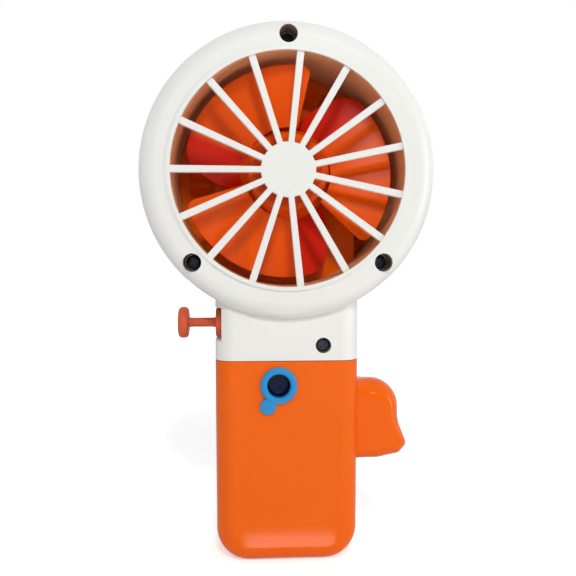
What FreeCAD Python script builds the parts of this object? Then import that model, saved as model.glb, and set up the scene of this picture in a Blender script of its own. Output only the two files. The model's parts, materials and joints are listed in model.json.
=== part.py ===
import FreeCAD, Part
import math
import os
import re
import Sketcher

# Hand fan with a squeeze trigger and a water mist pump
# Frame: origin at the middle of the foot, +Z up, +Y towards the air outlet, +X towards the trigger

doc = FreeCAD.newDocument("mist_fan")
sheet = doc.addObject("Spreadsheet::Sheet", "sizes")
Vector = FreeCAD.Vector

# Driving sizes in millimetres
SIZES = {
    # Overall form
    "wall": 1.8,
    "joint_height": 70.2,
    "neck_rise": 14.4,
    "neck_half": 24.7,
    "foot_half": 24.3,
    "depth_half": 14.0,
    "edge_round": 6.5,
    "foot_corner": 11.3,
    # Head ring and its two grilles
    "ring_radius": 49.5,
    "ring_band": 10.85,
    "duct_wall": 1.6,
    "rear_reach": 19.5,
    "front_reach": 18.0,
    "ring_round": 6.0,
    "lip_height": 0.5,
    "lip_width": 1.3,
    "hub_disc": 9.1,
    "grille_depth": 2.5,
    "spoke_outer": 2.45,
    "spoke_inner": 2.0,
    "spoke_count": 15,
    "outlet_margin": 4.0,
    "tip_clearance": 2.9,
    # Screws
    "head_bore": 3.05,
    "head_bore_depth": 9.0,
    "boss_radius": 3.9,
    "screw_radius": 1.2,
    "screw_head": 2.4,
    "screw_head_height": 1.6,
    "head_screw_length": 14.0,
    "neck_screw_x": 12.2,
    "neck_screw_rise": 5.1,
    "neck_bore": 2.65,
    "neck_bore_depth": 3.6,
    "neck_screw_length": 11.0,
    "cover_screw_length": 7.0,
    "cover_screw_head": 1.8,
    # Gearbox arm and its cover
    "arm_half": 25.0,
    "cover_face": 2.5,
    "cover_depth": 1.8,
    "layer_start": 4.8,
    "gear_face": 2.6,
    "layer_gap": 0.4,
    "fit": 0.05,
    "play": 0.3,
    # Gear teeth
    "module_size": 0.8,
    "rack_pinion_teeth": 12,
    "input_wheel_teeth": 42,
    "pinion_teeth": 11,
    "middle_wheel_teeth": 36,
    "input_gear_x": 4.5,
    "middle_gear_x": 3.0,
    "axle_radius": 1.0,
    # Rotor
    "rotor_hub_face": 13.1,
    "rotor_hub_base": 15.6,
    "rotor_rear": 14.0,
    "rotor_depth": 14.0,
    "blade_thickness": 1.4,
    "blade_count": 3,
    "hub_shell": 1.5,
    # Trigger
    "trigger_drop": 7.8,
    "trigger_length": 28.6,
    "trigger_half": 7.5,
    "trigger_reach": 40.2,
    "trigger_beak": 3.0,
    "trigger_shoulder": 15.5,
    "trigger_top_round": 9.5,
    "trigger_grip_round": 14.0,
    "trigger_side_round": 2.6,
    "trigger_travel": 11.0,
    "pocket_wall_x": 8.7,
    "flange_depth": 2.5,
    "flange_half": 9.0,
    "web_depth": 2.6,
    "trigger_spring_radius": 3.0,
    "trigger_spring_wire": 0.6,
    # Mist pump
    "pump_y": -2.0,
    "pump_rise": 12.2,
    "notch_depth": 2.3,
    "notch_half": 5.7,
    "collar_radius": 5.05,
    "cap_radius": 5.5,
    "cap_depth": 3.7,
    "stem_radius": 1.75,
    "plunger_travel": 9.0,
    "cap_clearance": 0.4,
    "barrel_radius": 4.0,
    "barrel_bore": 3.2,
    "barrel_end_x": -0.5,
    "port_x": -4.5,
    "plunger_spring_wire": 0.5,
    "tube_radius": 1.1,
    "tube_bore": 0.6,
    "tube_up_x": -18.0,
    "nozzle_y": 12.8,
    "nozzle_radius": 3.0,
    # Water tank
    "tank_wall_x": 7.0,
    "plug_x": -3.0,
    "plug_drop": 8.5,
    "plug_radius": 6.3,
    "plug_recess": 3.8,
    "plug_shank": 4.9,
    "tab_side": 3.7,
    "tab_drop": 7.1,
    "tab_radius": 2.7,
    # Outlet guard
    "vane_count": 40,
    "vane_tilt": 52.0,
    "vane_thickness": 1.0,
}

for row, (name, value) in enumerate(SIZES.items(), 1):
    sheet.set("A%d" % row, name)
    sheet.set("B%d" % row, str(value))
    sheet.setAlias("B%d" % row, name)
doc.recompute()

# Places and sizes that follow from the driving ones
DERIVED = {
    "axis_height": "(joint_height + ring_radius + neck_rise)",
    "duct_radius": "(ring_radius - ring_band)",
    "outlet_radius": "(ring_radius - ring_band - outlet_margin)",
    "rotor_radius": "(ring_radius - ring_band - tip_clearance)",
    "head_screw_circle": "(ring_radius - ring_band / 2 - 0.05)",
    "neck_screw_z": "(joint_height + neck_screw_rise)",
    "pump_z": "(joint_height + pump_rise)",
    "trigger_top": "(joint_height - trigger_drop)",
    "trigger_foot": "(joint_height - trigger_drop - trigger_length)",
    "trigger_lip": "(trigger_reach + trigger_beak)",
    "pocket_floor": "(joint_height - trigger_drop - trigger_length - 1.9)",
    "lid_top": "(joint_height - wall + 0.1)",
    "plug_z": "(joint_height - plug_drop)",
    "tab_x": "(plug_x - tab_side)",
    "tab_z": "(joint_height - plug_drop - tab_drop)",
}


def words(names):
    """A pattern for any of these words."""
    return re.compile(r"\b(" + "|".join(sorted(names, key=len, reverse=True)) + r")\b")


ALIASES = words(SIZES)
FOLLOWERS = words(DERIVED)

INPUT_TO_MIDDLE = "module_size * (input_wheel_teeth + pinion_teeth) / 2"
MIDDLE_TO_FAN = "module_size * (middle_wheel_teeth + pinion_teeth) / 2"
MIDDLE_Z = "(axis_height - sqrt((%s)^2 - middle_gear_x^2))" % MIDDLE_TO_FAN
INPUT_Z = "(%s - sqrt((%s)^2 - (input_gear_x - middle_gear_x)^2))" % (MIDDLE_Z, INPUT_TO_MIDDLE)
PINION_PITCH = "(module_size * rack_pinion_teeth / 2)"
RACK_LINE = "(%s - %s)" % (INPUT_Z, PINION_PITCH)
COVER_FRONT = "(cover_face + cover_depth)"
FRONT_INSIDE = "(front_reach - wall)"
LAYER_2 = "(layer_start + gear_face + layer_gap)"
LAYER_END = "(layer_start + 2 * gear_face + layer_gap)"
ARM_INSIDE = "(arm_half - wall)"
INNER_HALF = "(neck_half - wall)"
INNER_DEPTH = "(depth_half - wall)"
SOCKET_START = "(nozzle_y - 1.8)"
BEARING_START = "(%s - 3.3)" % SOCKET_START
COLLAR_FACE = "(-neck_half)"
NOTCH_X = "(-neck_half + notch_depth)"
PISTON_X = "(%s + 3.6)" % NOTCH_X
FLANGE_X = "(pocket_wall_x + trigger_travel + play)"
FLANGE_FACE = "(%s + flange_depth)" % FLANGE_X
LUG_FRONT = "(%s + 1.7)" % COVER_FRONT
BARREL_TOP = "(pump_z + barrel_radius)"
RING_INSIDE = "(axis_height - sqrt((ring_radius - wall)^2 - (%s)^2))"
TUBE_LEVEL = "(%s + tube_radius + 0.2)" % (RING_INSIDE % "tube_up_x - tube_radius")
COVER_SCREWS = (("-15", "axis_height + 9.2"), ("15", "axis_height + 9.2"), ("-18.8", "neck_screw_z + 0.5"))
HEAD_SCREW_ANGLES = (90, 224, 316)
CAVITY_ROUND = "(edge_round - wall)"


def named(text):
    """Give each size in an expression its place in the sheet."""
    spelled = FOLLOWERS.sub(lambda found: DERIVED[found.group(1)], str(text))
    return ALIASES.sub(r"sizes.\1", spelled)


def number(text):
    """The value of an expression of sizes."""
    return float(sheet.evalExpression(named(text)))


def bind(item, **texts):
    for key, text in texts.items():
        item.setExpression(key.replace("__", "."), named(text))


# Sketches and features of a body

def new_body(label):
    body = doc.addObject("PartDesign::Body", label)
    body.Label = label
    return body


def new_sketch(body, role, offset="0", side="0", up="0"):
    sketch = body.newObject("Sketcher::SketchObject", body.Label + "_sketch")
    plane = [item for item in body.Origin.OriginFeatures if item.Role == role][0]
    sketch.AttachmentSupport = [(plane, "")]
    sketch.MapMode = "FlatFace"
    bind(sketch, AttachmentOffset__Base__x=side, AttachmentOffset__Base__y=up,
         AttachmentOffset__Base__z=offset)
    return sketch


def outline(sketch, points):
    """A closed outline of straight sides whose corners are bound to sizes."""
    corners = [Vector(number(x), number(y), 0) for x, y in points]
    first = sketch.GeometryCount
    count = len(corners)
    for i in range(count):
        sketch.addGeometry(Part.LineSegment(corners[i], corners[(i + 1) % count]), False)
    for i in range(count):
        sketch.addConstraint(Sketcher.Constraint("Coincident", first + i, 2, first + (i + 1) % count, 1))
    for i, (x, y) in enumerate(points):
        for kind, text in (("DistanceX", x), ("DistanceY", y)):
            place = sketch.addConstraint(Sketcher.Constraint(kind, -1, 1, first + i, 1, number(text)))
            sketch.setExpression("Constraints[%d]" % place, named(text))


def rectangle(sketch, x0, x1, y0, y1):
    outline(sketch, ((x0, y0), (x1, y0), (x1, y1), (x0, y1)))


def circle(sketch, radius, x="0", y="0"):
    place = Vector(number(x), number(y), 0)
    item = sketch.addGeometry(Part.Circle(place, Vector(0, 0, 1), number(radius)), False)
    size = sketch.addConstraint(Sketcher.Constraint("Radius", item, number(radius)))
    sketch.setExpression("Constraints[%d]" % size, named(radius))
    for kind, text in (("DistanceX", x), ("DistanceY", y)):
        at = sketch.addConstraint(Sketcher.Constraint(kind, -1, 1, item, 3, number(text)))
        sketch.setExpression("Constraints[%d]" % at, named(text))


def feature(body, kind, sketch):
    item = body.newObject("PartDesign::" + kind, body.Label + "_" + kind.lower())
    item.Profile = sketch
    return item


def along_y(body, draw, start, end, cut=False, centre=False):
    """Pad or pocket an XZ sketch from one Y to another, about the foot or about the fan axis."""
    at = end if not cut else start
    sketch = new_sketch(body, "XZ_Plane", "-(%s)" % at, "0", "axis_height" if centre else "0")
    draw(sketch)
    item = feature(body, "Pocket" if cut else "Pad", sketch)
    bind(item, Length="(%s) - (%s)" % (end, start))
    doc.recompute()
    return item


def along_x(body, draw, start, end, cut=False, up="0", side="0"):
    """Pad or pocket a YZ sketch from one X to another."""
    at = start if not cut else end
    sketch = new_sketch(body, "YZ_Plane", at, side, up)
    draw(sketch)
    item = feature(body, "Pocket" if cut else "Pad", sketch)
    bind(item, Length="(%s) - (%s)" % (end, start))
    doc.recompute()
    return item


def along_z(body, draw, start, end, cut=False):
    """Pad or pocket an XY sketch from one Z to another."""
    at = start if not cut else end
    sketch = new_sketch(body, "XY_Plane", at)
    draw(sketch)
    item = feature(body, "Pocket" if cut else "Pad", sketch)
    bind(item, Length="(%s) - (%s)" % (end, start))
    doc.recompute()
    return item


def turned_y(body, points, cut=False, up="axis_height"):
    """Turn an outline of (y, radius) about a line along Y."""
    sketch = new_sketch(body, "YZ_Plane", "0", "0", up)
    outline(sketch, points)
    item = feature(body, "Groove" if cut else "Revolution", sketch)
    item.ReferenceAxis = (sketch, ["H_Axis"])
    item.Angle = 360
    doc.recompute()
    return item


def turned_x(body, points, y="pump_y", z="pump_z", cut=False):
    """Turn an outline of (x, radius) about a line along X."""
    sketch = new_sketch(body, "XZ_Plane", "-(%s)" % y, "0", z)
    outline(sketch, points)
    item = feature(body, "Groove" if cut else "Revolution", sketch)
    item.ReferenceAxis = (sketch, ["H_Axis"])
    item.Angle = 360
    doc.recompute()
    return item


def turned_z(body, points, x, y, cut=False):
    """Turn an outline of (radius, z) about an upright line."""
    sketch = new_sketch(body, "XZ_Plane", "-(%s)" % y, x, "0")
    outline(sketch, points)
    item = feature(body, "Groove" if cut else "Revolution", sketch)
    item.ReferenceAxis = (sketch, ["V_Axis"])
    item.Angle = 360
    doc.recompute()
    return item


def repeat_round(body, item, count):
    """Repeat a feature about the fan axis."""
    pattern = body.newObject("PartDesign::PolarPattern", body.Label + "_pattern")
    pattern.Originals = [item]
    pattern.Axis = (item.Profile[0], ["N_Axis"])
    pattern.Angle = 360
    bind(pattern, Occurrences=count)
    body.Tip = pattern
    doc.recompute()
    return pattern


def round_edges(body, radius, wanted):
    """Round the edges of the body's last feature that a test accepts."""
    base = body.Tip
    names = ["Edge%d" % (i + 1) for i, edge in enumerate(base.Shape.Edges) if wanted(edge)]
    if not names:
        raise RuntimeError("no edge to round on " + body.Label)
    item = body.newObject("PartDesign::Fillet", body.Label + "_fillet")
    item.Base = (base, names)
    bind(item, Radius=radius)
    doc.recompute()
    if not item.isValid():
        raise RuntimeError("rounding failed on " + body.Label)
    return item


def near(value, text, slack=0.02):
    return abs(value - number(text)) < slack


def ends(edge):
    return [vertex.Point for vertex in edge.Vertexes]


def on_plane(edge, axis, text, slack=0.02):
    """True where the whole edge lies in a plane square to an axis."""
    low = getattr(edge.BoundBox, axis + "Min")
    high = getattr(edge.BoundBox, axis + "Max")
    return near(low, text, slack) and near(high, text, slack)


def runs_along(edge, direction):
    if not isinstance(edge.Curve, (Part.Line, Part.LineSegment)):
        return False
    return edge.tangentAt(edge.FirstParameter).cross(direction).Length < 0.05


X_WAY = Vector(1, 0, 0)
Y_WAY = Vector(0, 1, 0)
Z_WAY = Vector(0, 0, 1)


def is_ring(edge, radius, y):
    """True for a circle about the fan axis at one Y."""
    if not isinstance(edge.Curve, Part.Circle):
        return False
    centre = edge.Curve.Center
    return near(edge.Curve.Radius, radius) and near(centre.y, y) and near(centre.z, "axis_height")


def polar(radius, angle):
    """Expressions for a point about the fan axis."""
    turn = math.radians(angle)
    return "(%s) * %.9f" % (radius, math.cos(turn)), "(%s) * %.9f" % (radius, math.sin(turn))


# Housings

def ring_outline(reach, inner):
    """Half section of the hollow ring, as (y, radius)."""
    sign = "-" if reach == "rear_reach" else ""
    face = "%s%s" % (sign, reach)
    inside = "%s(%s - wall)" % (sign, reach)
    points = [("0", "ring_radius"), (face, "ring_radius"), (face, inner), (inside, inner)]
    if inner != "duct_radius":
        points += [(inside, "duct_radius"), ("0", "duct_radius")]
    else:
        points = [("0", "ring_radius"), (face, "ring_radius"), (face, "duct_radius + lip_width")]
        points += [("%s - lip_height" % face, "duct_radius + lip_width"), ("%s - lip_height" % face, inner)]
        points += [("0", inner)]
    points += [("0", "duct_radius + duct_wall"), (inside, "duct_radius + duct_wall")]
    points += [(inside, "ring_radius - wall"), ("0", "ring_radius - wall")]
    return points


def neck_shell(body, rear):
    """Half of the hollow neck, cut to the ring's outer wall."""
    outer = ("-depth_half", "0") if rear else ("0", "depth_half")
    top = "axis_height - 30"
    along_y(body, lambda s: rectangle(s, "-neck_half", "neck_half", "joint_height", top), *outer)
    plane = outer[0] if rear else outer[1]
    round_edges(body, "edge_round", lambda e: runs_along(e, Z_WAY) and on_plane(e, "Y", plane))
    cut = ("ring_radius - wall / 2")
    along_y(body, lambda s: circle(s, cut), "-depth_half - 1", "depth_half + 1", True, True)


def neck_cavity(body, rear):
    """Hollow of the neck, open into the ring's own hollow."""
    sign = "-" if rear else ""
    deep, bevel = "%s%s" % (sign, INNER_DEPTH), "(%s * 0.6)" % CAVITY_ROUND
    shoulder = "%s(%s - %s)" % (sign, INNER_DEPTH, bevel)
    inset = "(%s - %s)" % (INNER_HALF, bevel)
    points = (("-" + INNER_HALF, "0"), ("-" + INNER_HALF, shoulder), ("-" + inset, deep), (inset, deep),
              (INNER_HALF, shoulder), (INNER_HALF, "0"))
    top = RING_INSIDE % INNER_HALF + " + 0.1"
    along_z(body, lambda s: outline(s, points), "joint_height - 1", top, cut=True)


def pump_seat(body, start, end):
    """Half of the wall inside the neck that holds the pump barrel."""
    low, high = "pump_z - notch_half - 1.2", "pump_z + notch_half + 1.2"
    along_x(body, lambda s: rectangle(s, start, end, low, high), NOTCH_X + " - 0.6", NOTCH_X + " + 1.5")
    hole = lambda s: circle(s, "barrel_radius + fit", "pump_y", "pump_z")
    along_x(body, hole, "-neck_half - 1", NOTCH_X + " + 2", True)


def make_rear_housing():
    body = new_body("rear_housing")
    neck_shell(body, True)
    turned_y(body, ring_outline("rear_reach", "duct_radius"))
    round_edges(body, "ring_round", lambda e: is_ring(e, "ring_radius", "-rear_reach"))
    round_edges(body, "ring_round - wall", lambda e: is_ring(e, "ring_radius - wall", "-rear_reach + wall"))
    face = "-rear_reach + 0.3"
    back = "-rear_reach + 0.3 + grille_depth"
    along_y(body, lambda s: circle(s, "hub_disc"), face, back, centre=True)
    spoke = [("-hub_disc + 0.8", "-spoke_inner / 2"), ("-hub_disc + 0.8", "spoke_inner / 2")]
    spoke += [("-duct_radius - 0.6", "spoke_outer / 2"), ("-duct_radius - 0.6", "-spoke_outer / 2")]
    bar = along_y(body, lambda s: outline(s, spoke), face, back, centre=True)
    repeat_round(body, bar, "spoke_count")
    for angle in HEAD_SCREW_ANGLES:
        x, z = polar("head_screw_circle", angle)
        along_y(body, lambda s: circle(s, "boss_radius", x, z), "-rear_reach + wall + 0.3", "0",
                centre=True)
    neck_cavity(body, True)
    at = ("neck_screw_x", "neck_screw_z")
    floor = "-depth_half + neck_bore_depth"
    along_y(body, lambda s: circle(s, "neck_bore + 0.9", *at), "-depth_half + 1.5", floor + " + 1.4")
    along_y(body, lambda s: circle(s, "neck_bore", *at), "-depth_half - 1", floor, True)
    along_y(body, lambda s: circle(s, "screw_radius + 0.1", *at), "-depth_half", floor + " + 2", True)
    for angle in HEAD_SCREW_ANGLES:
        x, z = polar("head_screw_circle", angle)
        seat = "-rear_reach + head_bore_depth"
        along_y(body, lambda s: circle(s, "head_bore", x, z), "-rear_reach - 1", seat, True, True)
        along_y(body, lambda s: circle(s, "screw_radius + 0.1", x, z), "-rear_reach", "1", True, True)
    pump_seat(body, "-%s + 0.5" % INNER_DEPTH, "0")
    notch = ("-neck_half - 1", NOTCH_X, "pump_z - notch_half", "pump_z + notch_half")
    along_y(body, lambda s: rectangle(s, *notch), "-depth_half - 1", "1", True)
    return body


def slot_outline(body, half, start, end, cut, low):
    """The arm's form: a straight web with a full round top about the fan axis."""
    along_y(body, lambda s: rectangle(s, "-(%s)" % half, half, low, "0"), start, end, cut, True)
    along_y(body, lambda s: circle(s, half), start, end, cut, True)


def make_front_housing():
    body = new_body("front_housing")
    neck_shell(body, False)
    turned_y(body, ring_outline("front_reach", "outlet_radius"))
    round_edges(body, "ring_round", lambda e: is_ring(e, "ring_radius", "front_reach"))
    round_edges(body, "ring_round - wall", lambda e: is_ring(e, "ring_radius - wall", FRONT_INSIDE))
    foot = "-sqrt((ring_radius - ring_round)^2 - arm_half^2)"
    slot_outline(body, "arm_half", COVER_FRONT, "front_reach", False, foot)
    slot_outline(body, ARM_INSIDE, "cover_face - 0.1", FRONT_INSIDE, True, "-duct_radius - duct_wall - 0.2")
    neck_cavity(body, False)
    seat = ("-arm_half - 0.1", "arm_half + 0.1", "-duct_radius - duct_wall - 0.1",
            "-sqrt(duct_radius^2 - (arm_half + 0.1)^2) + 0.5")
    along_y(body, lambda s: rectangle(s, *seat), "cover_face - 0.1", COVER_FRONT, True, True)
    for angle in HEAD_SCREW_ANGLES:
        x, z = polar("head_screw_circle", angle)
        along_y(body, lambda s: circle(s, "boss_radius", x, z), "0", "front_reach - wall - 0.3",
                centre=True)
    for angle in HEAD_SCREW_ANGLES:
        x, z = polar("head_screw_circle", angle)
        along_y(body, lambda s: circle(s, "screw_radius + 0.02", x, z), "-1", "head_screw_length", True,
                True)
    along_y(body, lambda s: circle(s, "nozzle_radius + 2.2"), BEARING_START, "front_reach - 0.5",
            centre=True)
    along_y(body, lambda s: circle(s, "axle_radius + fit"), BEARING_START + " - 1",
            SOCKET_START + " - 0.8", True, True)
    along_y(body, lambda s: circle(s, "nozzle_radius + fit"), SOCKET_START, "front_reach + 1", True, True)
    along_x(body, lambda s: circle(s, "tube_radius + fit", "nozzle_y", "0"), "-nozzle_radius - 4",
            "-nozzle_radius + 1",
            True, "axis_height")
    base = LAYER_END + " + play"
    for x, z in (("input_gear_x", INPUT_Z), ("middle_gear_x", MIDDLE_Z)):
        along_y(body, lambda s: circle(s, "axle_radius + 0.9", x, z), base, "front_reach - 1")
        along_y(body, lambda s: circle(s, "axle_radius + fit", x, z), base + " - 1", FRONT_INSIDE, True)
    for x, z in COVER_SCREWS:
        low = z.startswith("neck")
        back = INNER_DEPTH if low else "front_reach - 1"
        start = LUG_FRONT + " + 0.05" if low else COVER_FRONT
        along_y(body, lambda s: circle(s, "screw_radius + 1.2", x, z), start, back)
        along_y(body, lambda s: circle(s, "screw_radius * 0.7 + 0.02", x, z), COVER_FRONT,
                COVER_FRONT + " + 6.5", True)
    pump_seat(body, "0", "cover_face - 0.2")
    notch = ("-neck_half - 1", NOTCH_X, "pump_z - notch_half", "pump_z + notch_half")
    along_y(body, lambda s: rectangle(s, *notch), "-1", "pump_y + notch_half", True)
    return body


def make_gearbox_cover():
    body = new_body("gearbox_cover")
    slot_outline(body, "arm_half", "cover_face", COVER_FRONT, False, "-duct_radius - duct_wall")
    right, above = "%s - play" % INNER_HALF, "pump_z + notch_half + 1.2 + play"
    middle = ("-%s + play" % INNER_HALF, right, above, "axis_height - duct_radius - duct_wall + 1")
    along_y(body, lambda s: rectangle(s, *middle), "cover_face", COVER_FRONT)
    low = (NOTCH_X + " + 1.7", right, "joint_height + 2", above + " + 1")
    along_y(body, lambda s: rectangle(s, *low), "cover_face", COVER_FRONT)
    at = ("neck_screw_x", "neck_screw_z")
    along_y(body, lambda s: circle(s, "screw_radius + 1.8", *at), "-4.5", "cover_face + 1")
    along_y(body, lambda s: circle(s, "screw_radius + 0.02", *at), "-5", COVER_FRONT + " - 0.6", True)
    for x, z in (("input_gear_x", INPUT_Z), ("middle_gear_x", MIDDLE_Z)):
        along_y(body, lambda s: circle(s, "axle_radius + fit", x, z), "cover_face + 0.6", "layer_start",
                True)
    along_y(body, lambda s: circle(s, "axle_radius + fit"), "cover_face - 1", "layer_start", True, True)
    for x, z in COVER_SCREWS:
        along_y(body, lambda s: circle(s, "screw_radius * 0.7 + 0.1", x, z), "cover_face - 1",
                "layer_start", True)
    along_y(body, lambda s: circle(s, "tube_radius + fit", "tube_up_x", TUBE_LEVEL), "cover_face - 1",
            "layer_start", True)
    return body


def make_front_grille():
    body = new_body("front_grille")
    start = "front_reach - wall - 3.4"
    end = "front_reach - wall - 0.05"
    ring = ((start, "outlet_radius + 0.3"), (start, "duct_radius - 0.1"), (end, "duct_radius - 0.1"),
            (end, "outlet_radius + 0.3"))
    turned_y(body, ring)
    rim = ((start, "arm_half + 0.15"), (start, "arm_half + 1.3"), (end, "arm_half + 1.3"),
           (end, "arm_half + 0.15"))
    depth = "(%s) - (%s)" % (end, start)
    sketch = new_sketch(body, "XY_Plane", "axis_height + arm_half + 0.7")
    lean = math.tan(math.radians(number("vane_tilt")))
    shift = number(depth) * lean / 2
    half = "vane_thickness / %.6f / 2" % math.cos(math.radians(number("vane_tilt")))
    outline(sketch, (("-%.4f - %s" % (shift, half), start), ("-%.4f + %s" % (shift, half), start),
                     ("%.4f + %s" % (shift, half), end), ("%.4f - %s" % (shift, half), end)))
    vane = feature(body, "Pad", sketch)
    bind(vane, Length="outlet_radius - arm_half + 0.6")
    doc.recompute()
    pattern = body.newObject("PartDesign::PolarPattern", "front_grille_pattern")
    pattern.Originals = [vane]
    pattern.Axis = (body.Group[0], ["H_Axis"])
    pattern.Angle = 360
    bind(pattern, Occurrences="vane_count")
    body.Tip = pattern
    doc.recompute()
    turned_y(body, rim)
    gap = ("-arm_half - 0.15", "arm_half + 0.15", "-duct_radius - 1", "0")
    along_y(body, lambda s: rectangle(s, *gap), start + " - 1", end + " + 1", True, True)
    return body


# Gears

PRESSURE_ANGLE = math.radians(25)
ADDENDUM = 0.8
DEDENDUM = 1.1
BACKLASH = 0.16


def tooth_points(teeth, inner_step):
    """One tooth of an involute gear about angle zero, from root to root."""
    size = number("module_size")
    pitch = size * teeth / 2
    base = pitch * math.cos(PRESSURE_ANGLE)
    tip = pitch + ADDENDUM * size
    root = pitch - DEDENDUM * size
    flat = math.tan(PRESSURE_ANGLE) - PRESSURE_ANGLE
    half = math.pi / 2 / teeth - BACKLASH / 2 / pitch

    def spread(radius):
        if radius <= base:
            return half + flat
        lean = math.acos(base / radius)
        return half + flat - (math.tan(lean) - lean)

    steps = [root, max(base, root + inner_step), pitch, tip]
    side = [(radius, spread(radius)) for radius in steps]
    return [(r, -a) for r, a in side] + [(r, a) for r, a in reversed(side)]


def gear_face(teeth, phase):
    """A toothed disc in the XZ plane, centred on the origin, with a tooth at the phase angle."""
    points = []
    for i in range(teeth):
        middle = phase + 2 * math.pi * i / teeth
        for radius, turn in tooth_points(teeth, 0.2):
            points.append(Vector(radius * math.cos(middle + turn), 0, radius * math.sin(middle + turn)))
    return Part.Face(Part.makePolygon(points + points[:1]))


def disc(radius, start, end):
    return Part.makeCylinder(radius, end - start, Vector(0, start, 0), Y_WAY)


def toothed(teeth, phase, start, end):
    face = gear_face(teeth, phase)
    face.translate(Vector(0, start, 0))
    return face.extrude(Vector(0, end - start, 0))


def meshed(phase, teeth, next_teeth, line):
    """Phase of the next gear, for a line of centres at a given angle."""
    return line + math.pi + math.pi / next_teeth - (phase - line) * teeth / next_teeth


def line_angle(x0, z0, x1, z1):
    return math.atan2(z1 - z0, x1 - x0)


def set_piece(label, shape, x="0", y="0", z="0"):
    item = doc.addObject("Part::Feature", label)
    item.Label = label
    item.Shape = shape
    bind(item, Placement__Base__x=x, Placement__Base__y=y, Placement__Base__z=z)
    doc.recompute()
    return item


def gear_phases():
    first = -math.pi / 2 + math.pi / number("rack_pinion_teeth")
    x1, z1 = number("input_gear_x"), number(INPUT_Z)
    x2, z2 = number("middle_gear_x"), number(MIDDLE_Z)
    wheel, pinion = int(number("input_wheel_teeth")), int(number("pinion_teeth"))
    second = meshed(first, wheel, pinion, line_angle(x1, z1, x2, z2))
    last_line = line_angle(x2, z2, 0, number("axis_height"))
    third = meshed(second, int(number("middle_wheel_teeth")), pinion, last_line)
    return first, second, third


def make_gears():
    first, second, third = gear_phases()
    face, gap = number("gear_face"), number("layer_gap")
    one, two = number("layer_start"), number(LAYER_2)
    end = two + face
    bore = number("axle_radius + fit")
    pinion = int(number("pinion_teeth"))
    rack_pinion = toothed(int(number("rack_pinion_teeth")), first, one, two)
    wheel = toothed(int(number("input_wheel_teeth")), first, two, end)
    shape = rack_pinion.fuse(wheel).cut(disc(bore, one - 1, end + 1))
    set_piece("input_gear", shape, "input_gear_x", "0", INPUT_Z)
    small = toothed(pinion, second, one + face, end)
    large = toothed(int(number("middle_wheel_teeth")), second, one, one + face)
    shape = small.fuse(large).cut(disc(bore, one - 1, end + 1))
    set_piece("middle_gear", shape, "middle_gear_x", "0", MIDDLE_Z)
    last = toothed(pinion, third, one - gap / 2, one + face)
    snug = disc(number("axle_radius + fit / 4"), one - 1, end + 1)
    set_piece("fan_pinion", last.cut(snug), "0", "0", "axis_height")


def make_rotor():
    """Cup hub with three twisted blades, each a slice of a helical ramp."""
    hub_face, hub_base = number("rotor_hub_face"), number("rotor_hub_base")
    rear, depth = -number("rotor_rear"), number("rotor_depth")
    shell = number("hub_shell")
    reach = number("rotor_radius")
    profile = [(0, rear), (hub_face - 1.6, rear), (hub_face, rear + 1.2), (hub_base, rear + depth * 0.62)]
    profile += [(hub_base, rear + depth), (hub_base - shell, rear + depth)]
    profile += [(hub_base - shell, rear + depth * 0.62), (hub_face - shell, rear + shell + 0.8)]
    profile += [(0, rear + shell + 0.8)]
    cup = Part.Face(Part.makePolygon([Vector(r, y, 0) for r, y in profile + profile[:1]]))
    cup = cup.revolve(Vector(0, 0, 0), Y_WAY, 360)
    post_end = number("cover_face") - 0.9
    post = disc(number("axle_radius") + 2.0, rear + 1, post_end)
    first, last = math.radians(-43), math.radians(86)
    pitch = (depth - 1.2) / (last - first)

    def ramp(radius):
        turns = [first - 0.1 + (last - first + 0.2) * i / 12 for i in range(13)]
        spots = [Vector(radius * math.cos(t), rear + 0.4 + pitch * (t - first),
                        radius * math.sin(t)) for t in turns]
        curve = Part.BSplineCurve()
        curve.interpolate(spots)
        return curve.toShape()

    sheet_face = Part.makeRuledSurface(ramp(hub_base - 1.0), ramp(reach + 2))
    slab = sheet_face.extrude(Vector(0, number("blade_thickness"), 0))

    def spot(radius, degrees):
        turn = math.radians(degrees)
        return Vector(radius * math.cos(turn), rear - 5, radius * math.sin(turn))

    inner = hub_base - 0.6
    lead = Part.LineSegment(spot(inner, -43), spot(reach, -43)).toShape()
    tip = Part.Arc(spot(reach, -43), spot(reach, 5), spot(reach, 50)).toShape()
    trail = Part.Arc(spot(reach, 50), spot(reach * 0.72, 65), spot(inner, 82)).toShape()
    root = Part.Arc(spot(inner, 82), spot(inner, 20), spot(inner, -43)).toShape()
    prism = Part.Face(Part.Wire([lead, tip, trail, root])).extrude(Vector(0, depth * 2, 0))

    def corner(edge, degrees):
        place, wanted = ends(edge)[0], spot(reach, degrees)
        return runs_along(edge, Y_WAY) and math.hypot(place.x - wanted.x, place.z - wanted.z) < 0.1

    prism = prism.makeFillet(3.0, [edge for edge in prism.Edges if corner(edge, -43)])
    prism = prism.makeFillet(8.0, [edge for edge in prism.Edges if corner(edge, 50)])
    blade = slab.common(prism)
    count = int(number("blade_count"))
    shape = cup.fuse(post)
    for i in range(count):
        copy = blade.copy()
        copy.rotate(Vector(0, 0, 0), Y_WAY, 360.0 * i / count)
        shape = shape.fuse(copy)
    bore = disc(number("axle_radius + fit / 4"), rear + shell + 0.3, post_end + 1)
    set_piece("fan_rotor", shape.cut(bore), "0", "0", "axis_height")


# Trigger with its rack

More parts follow.
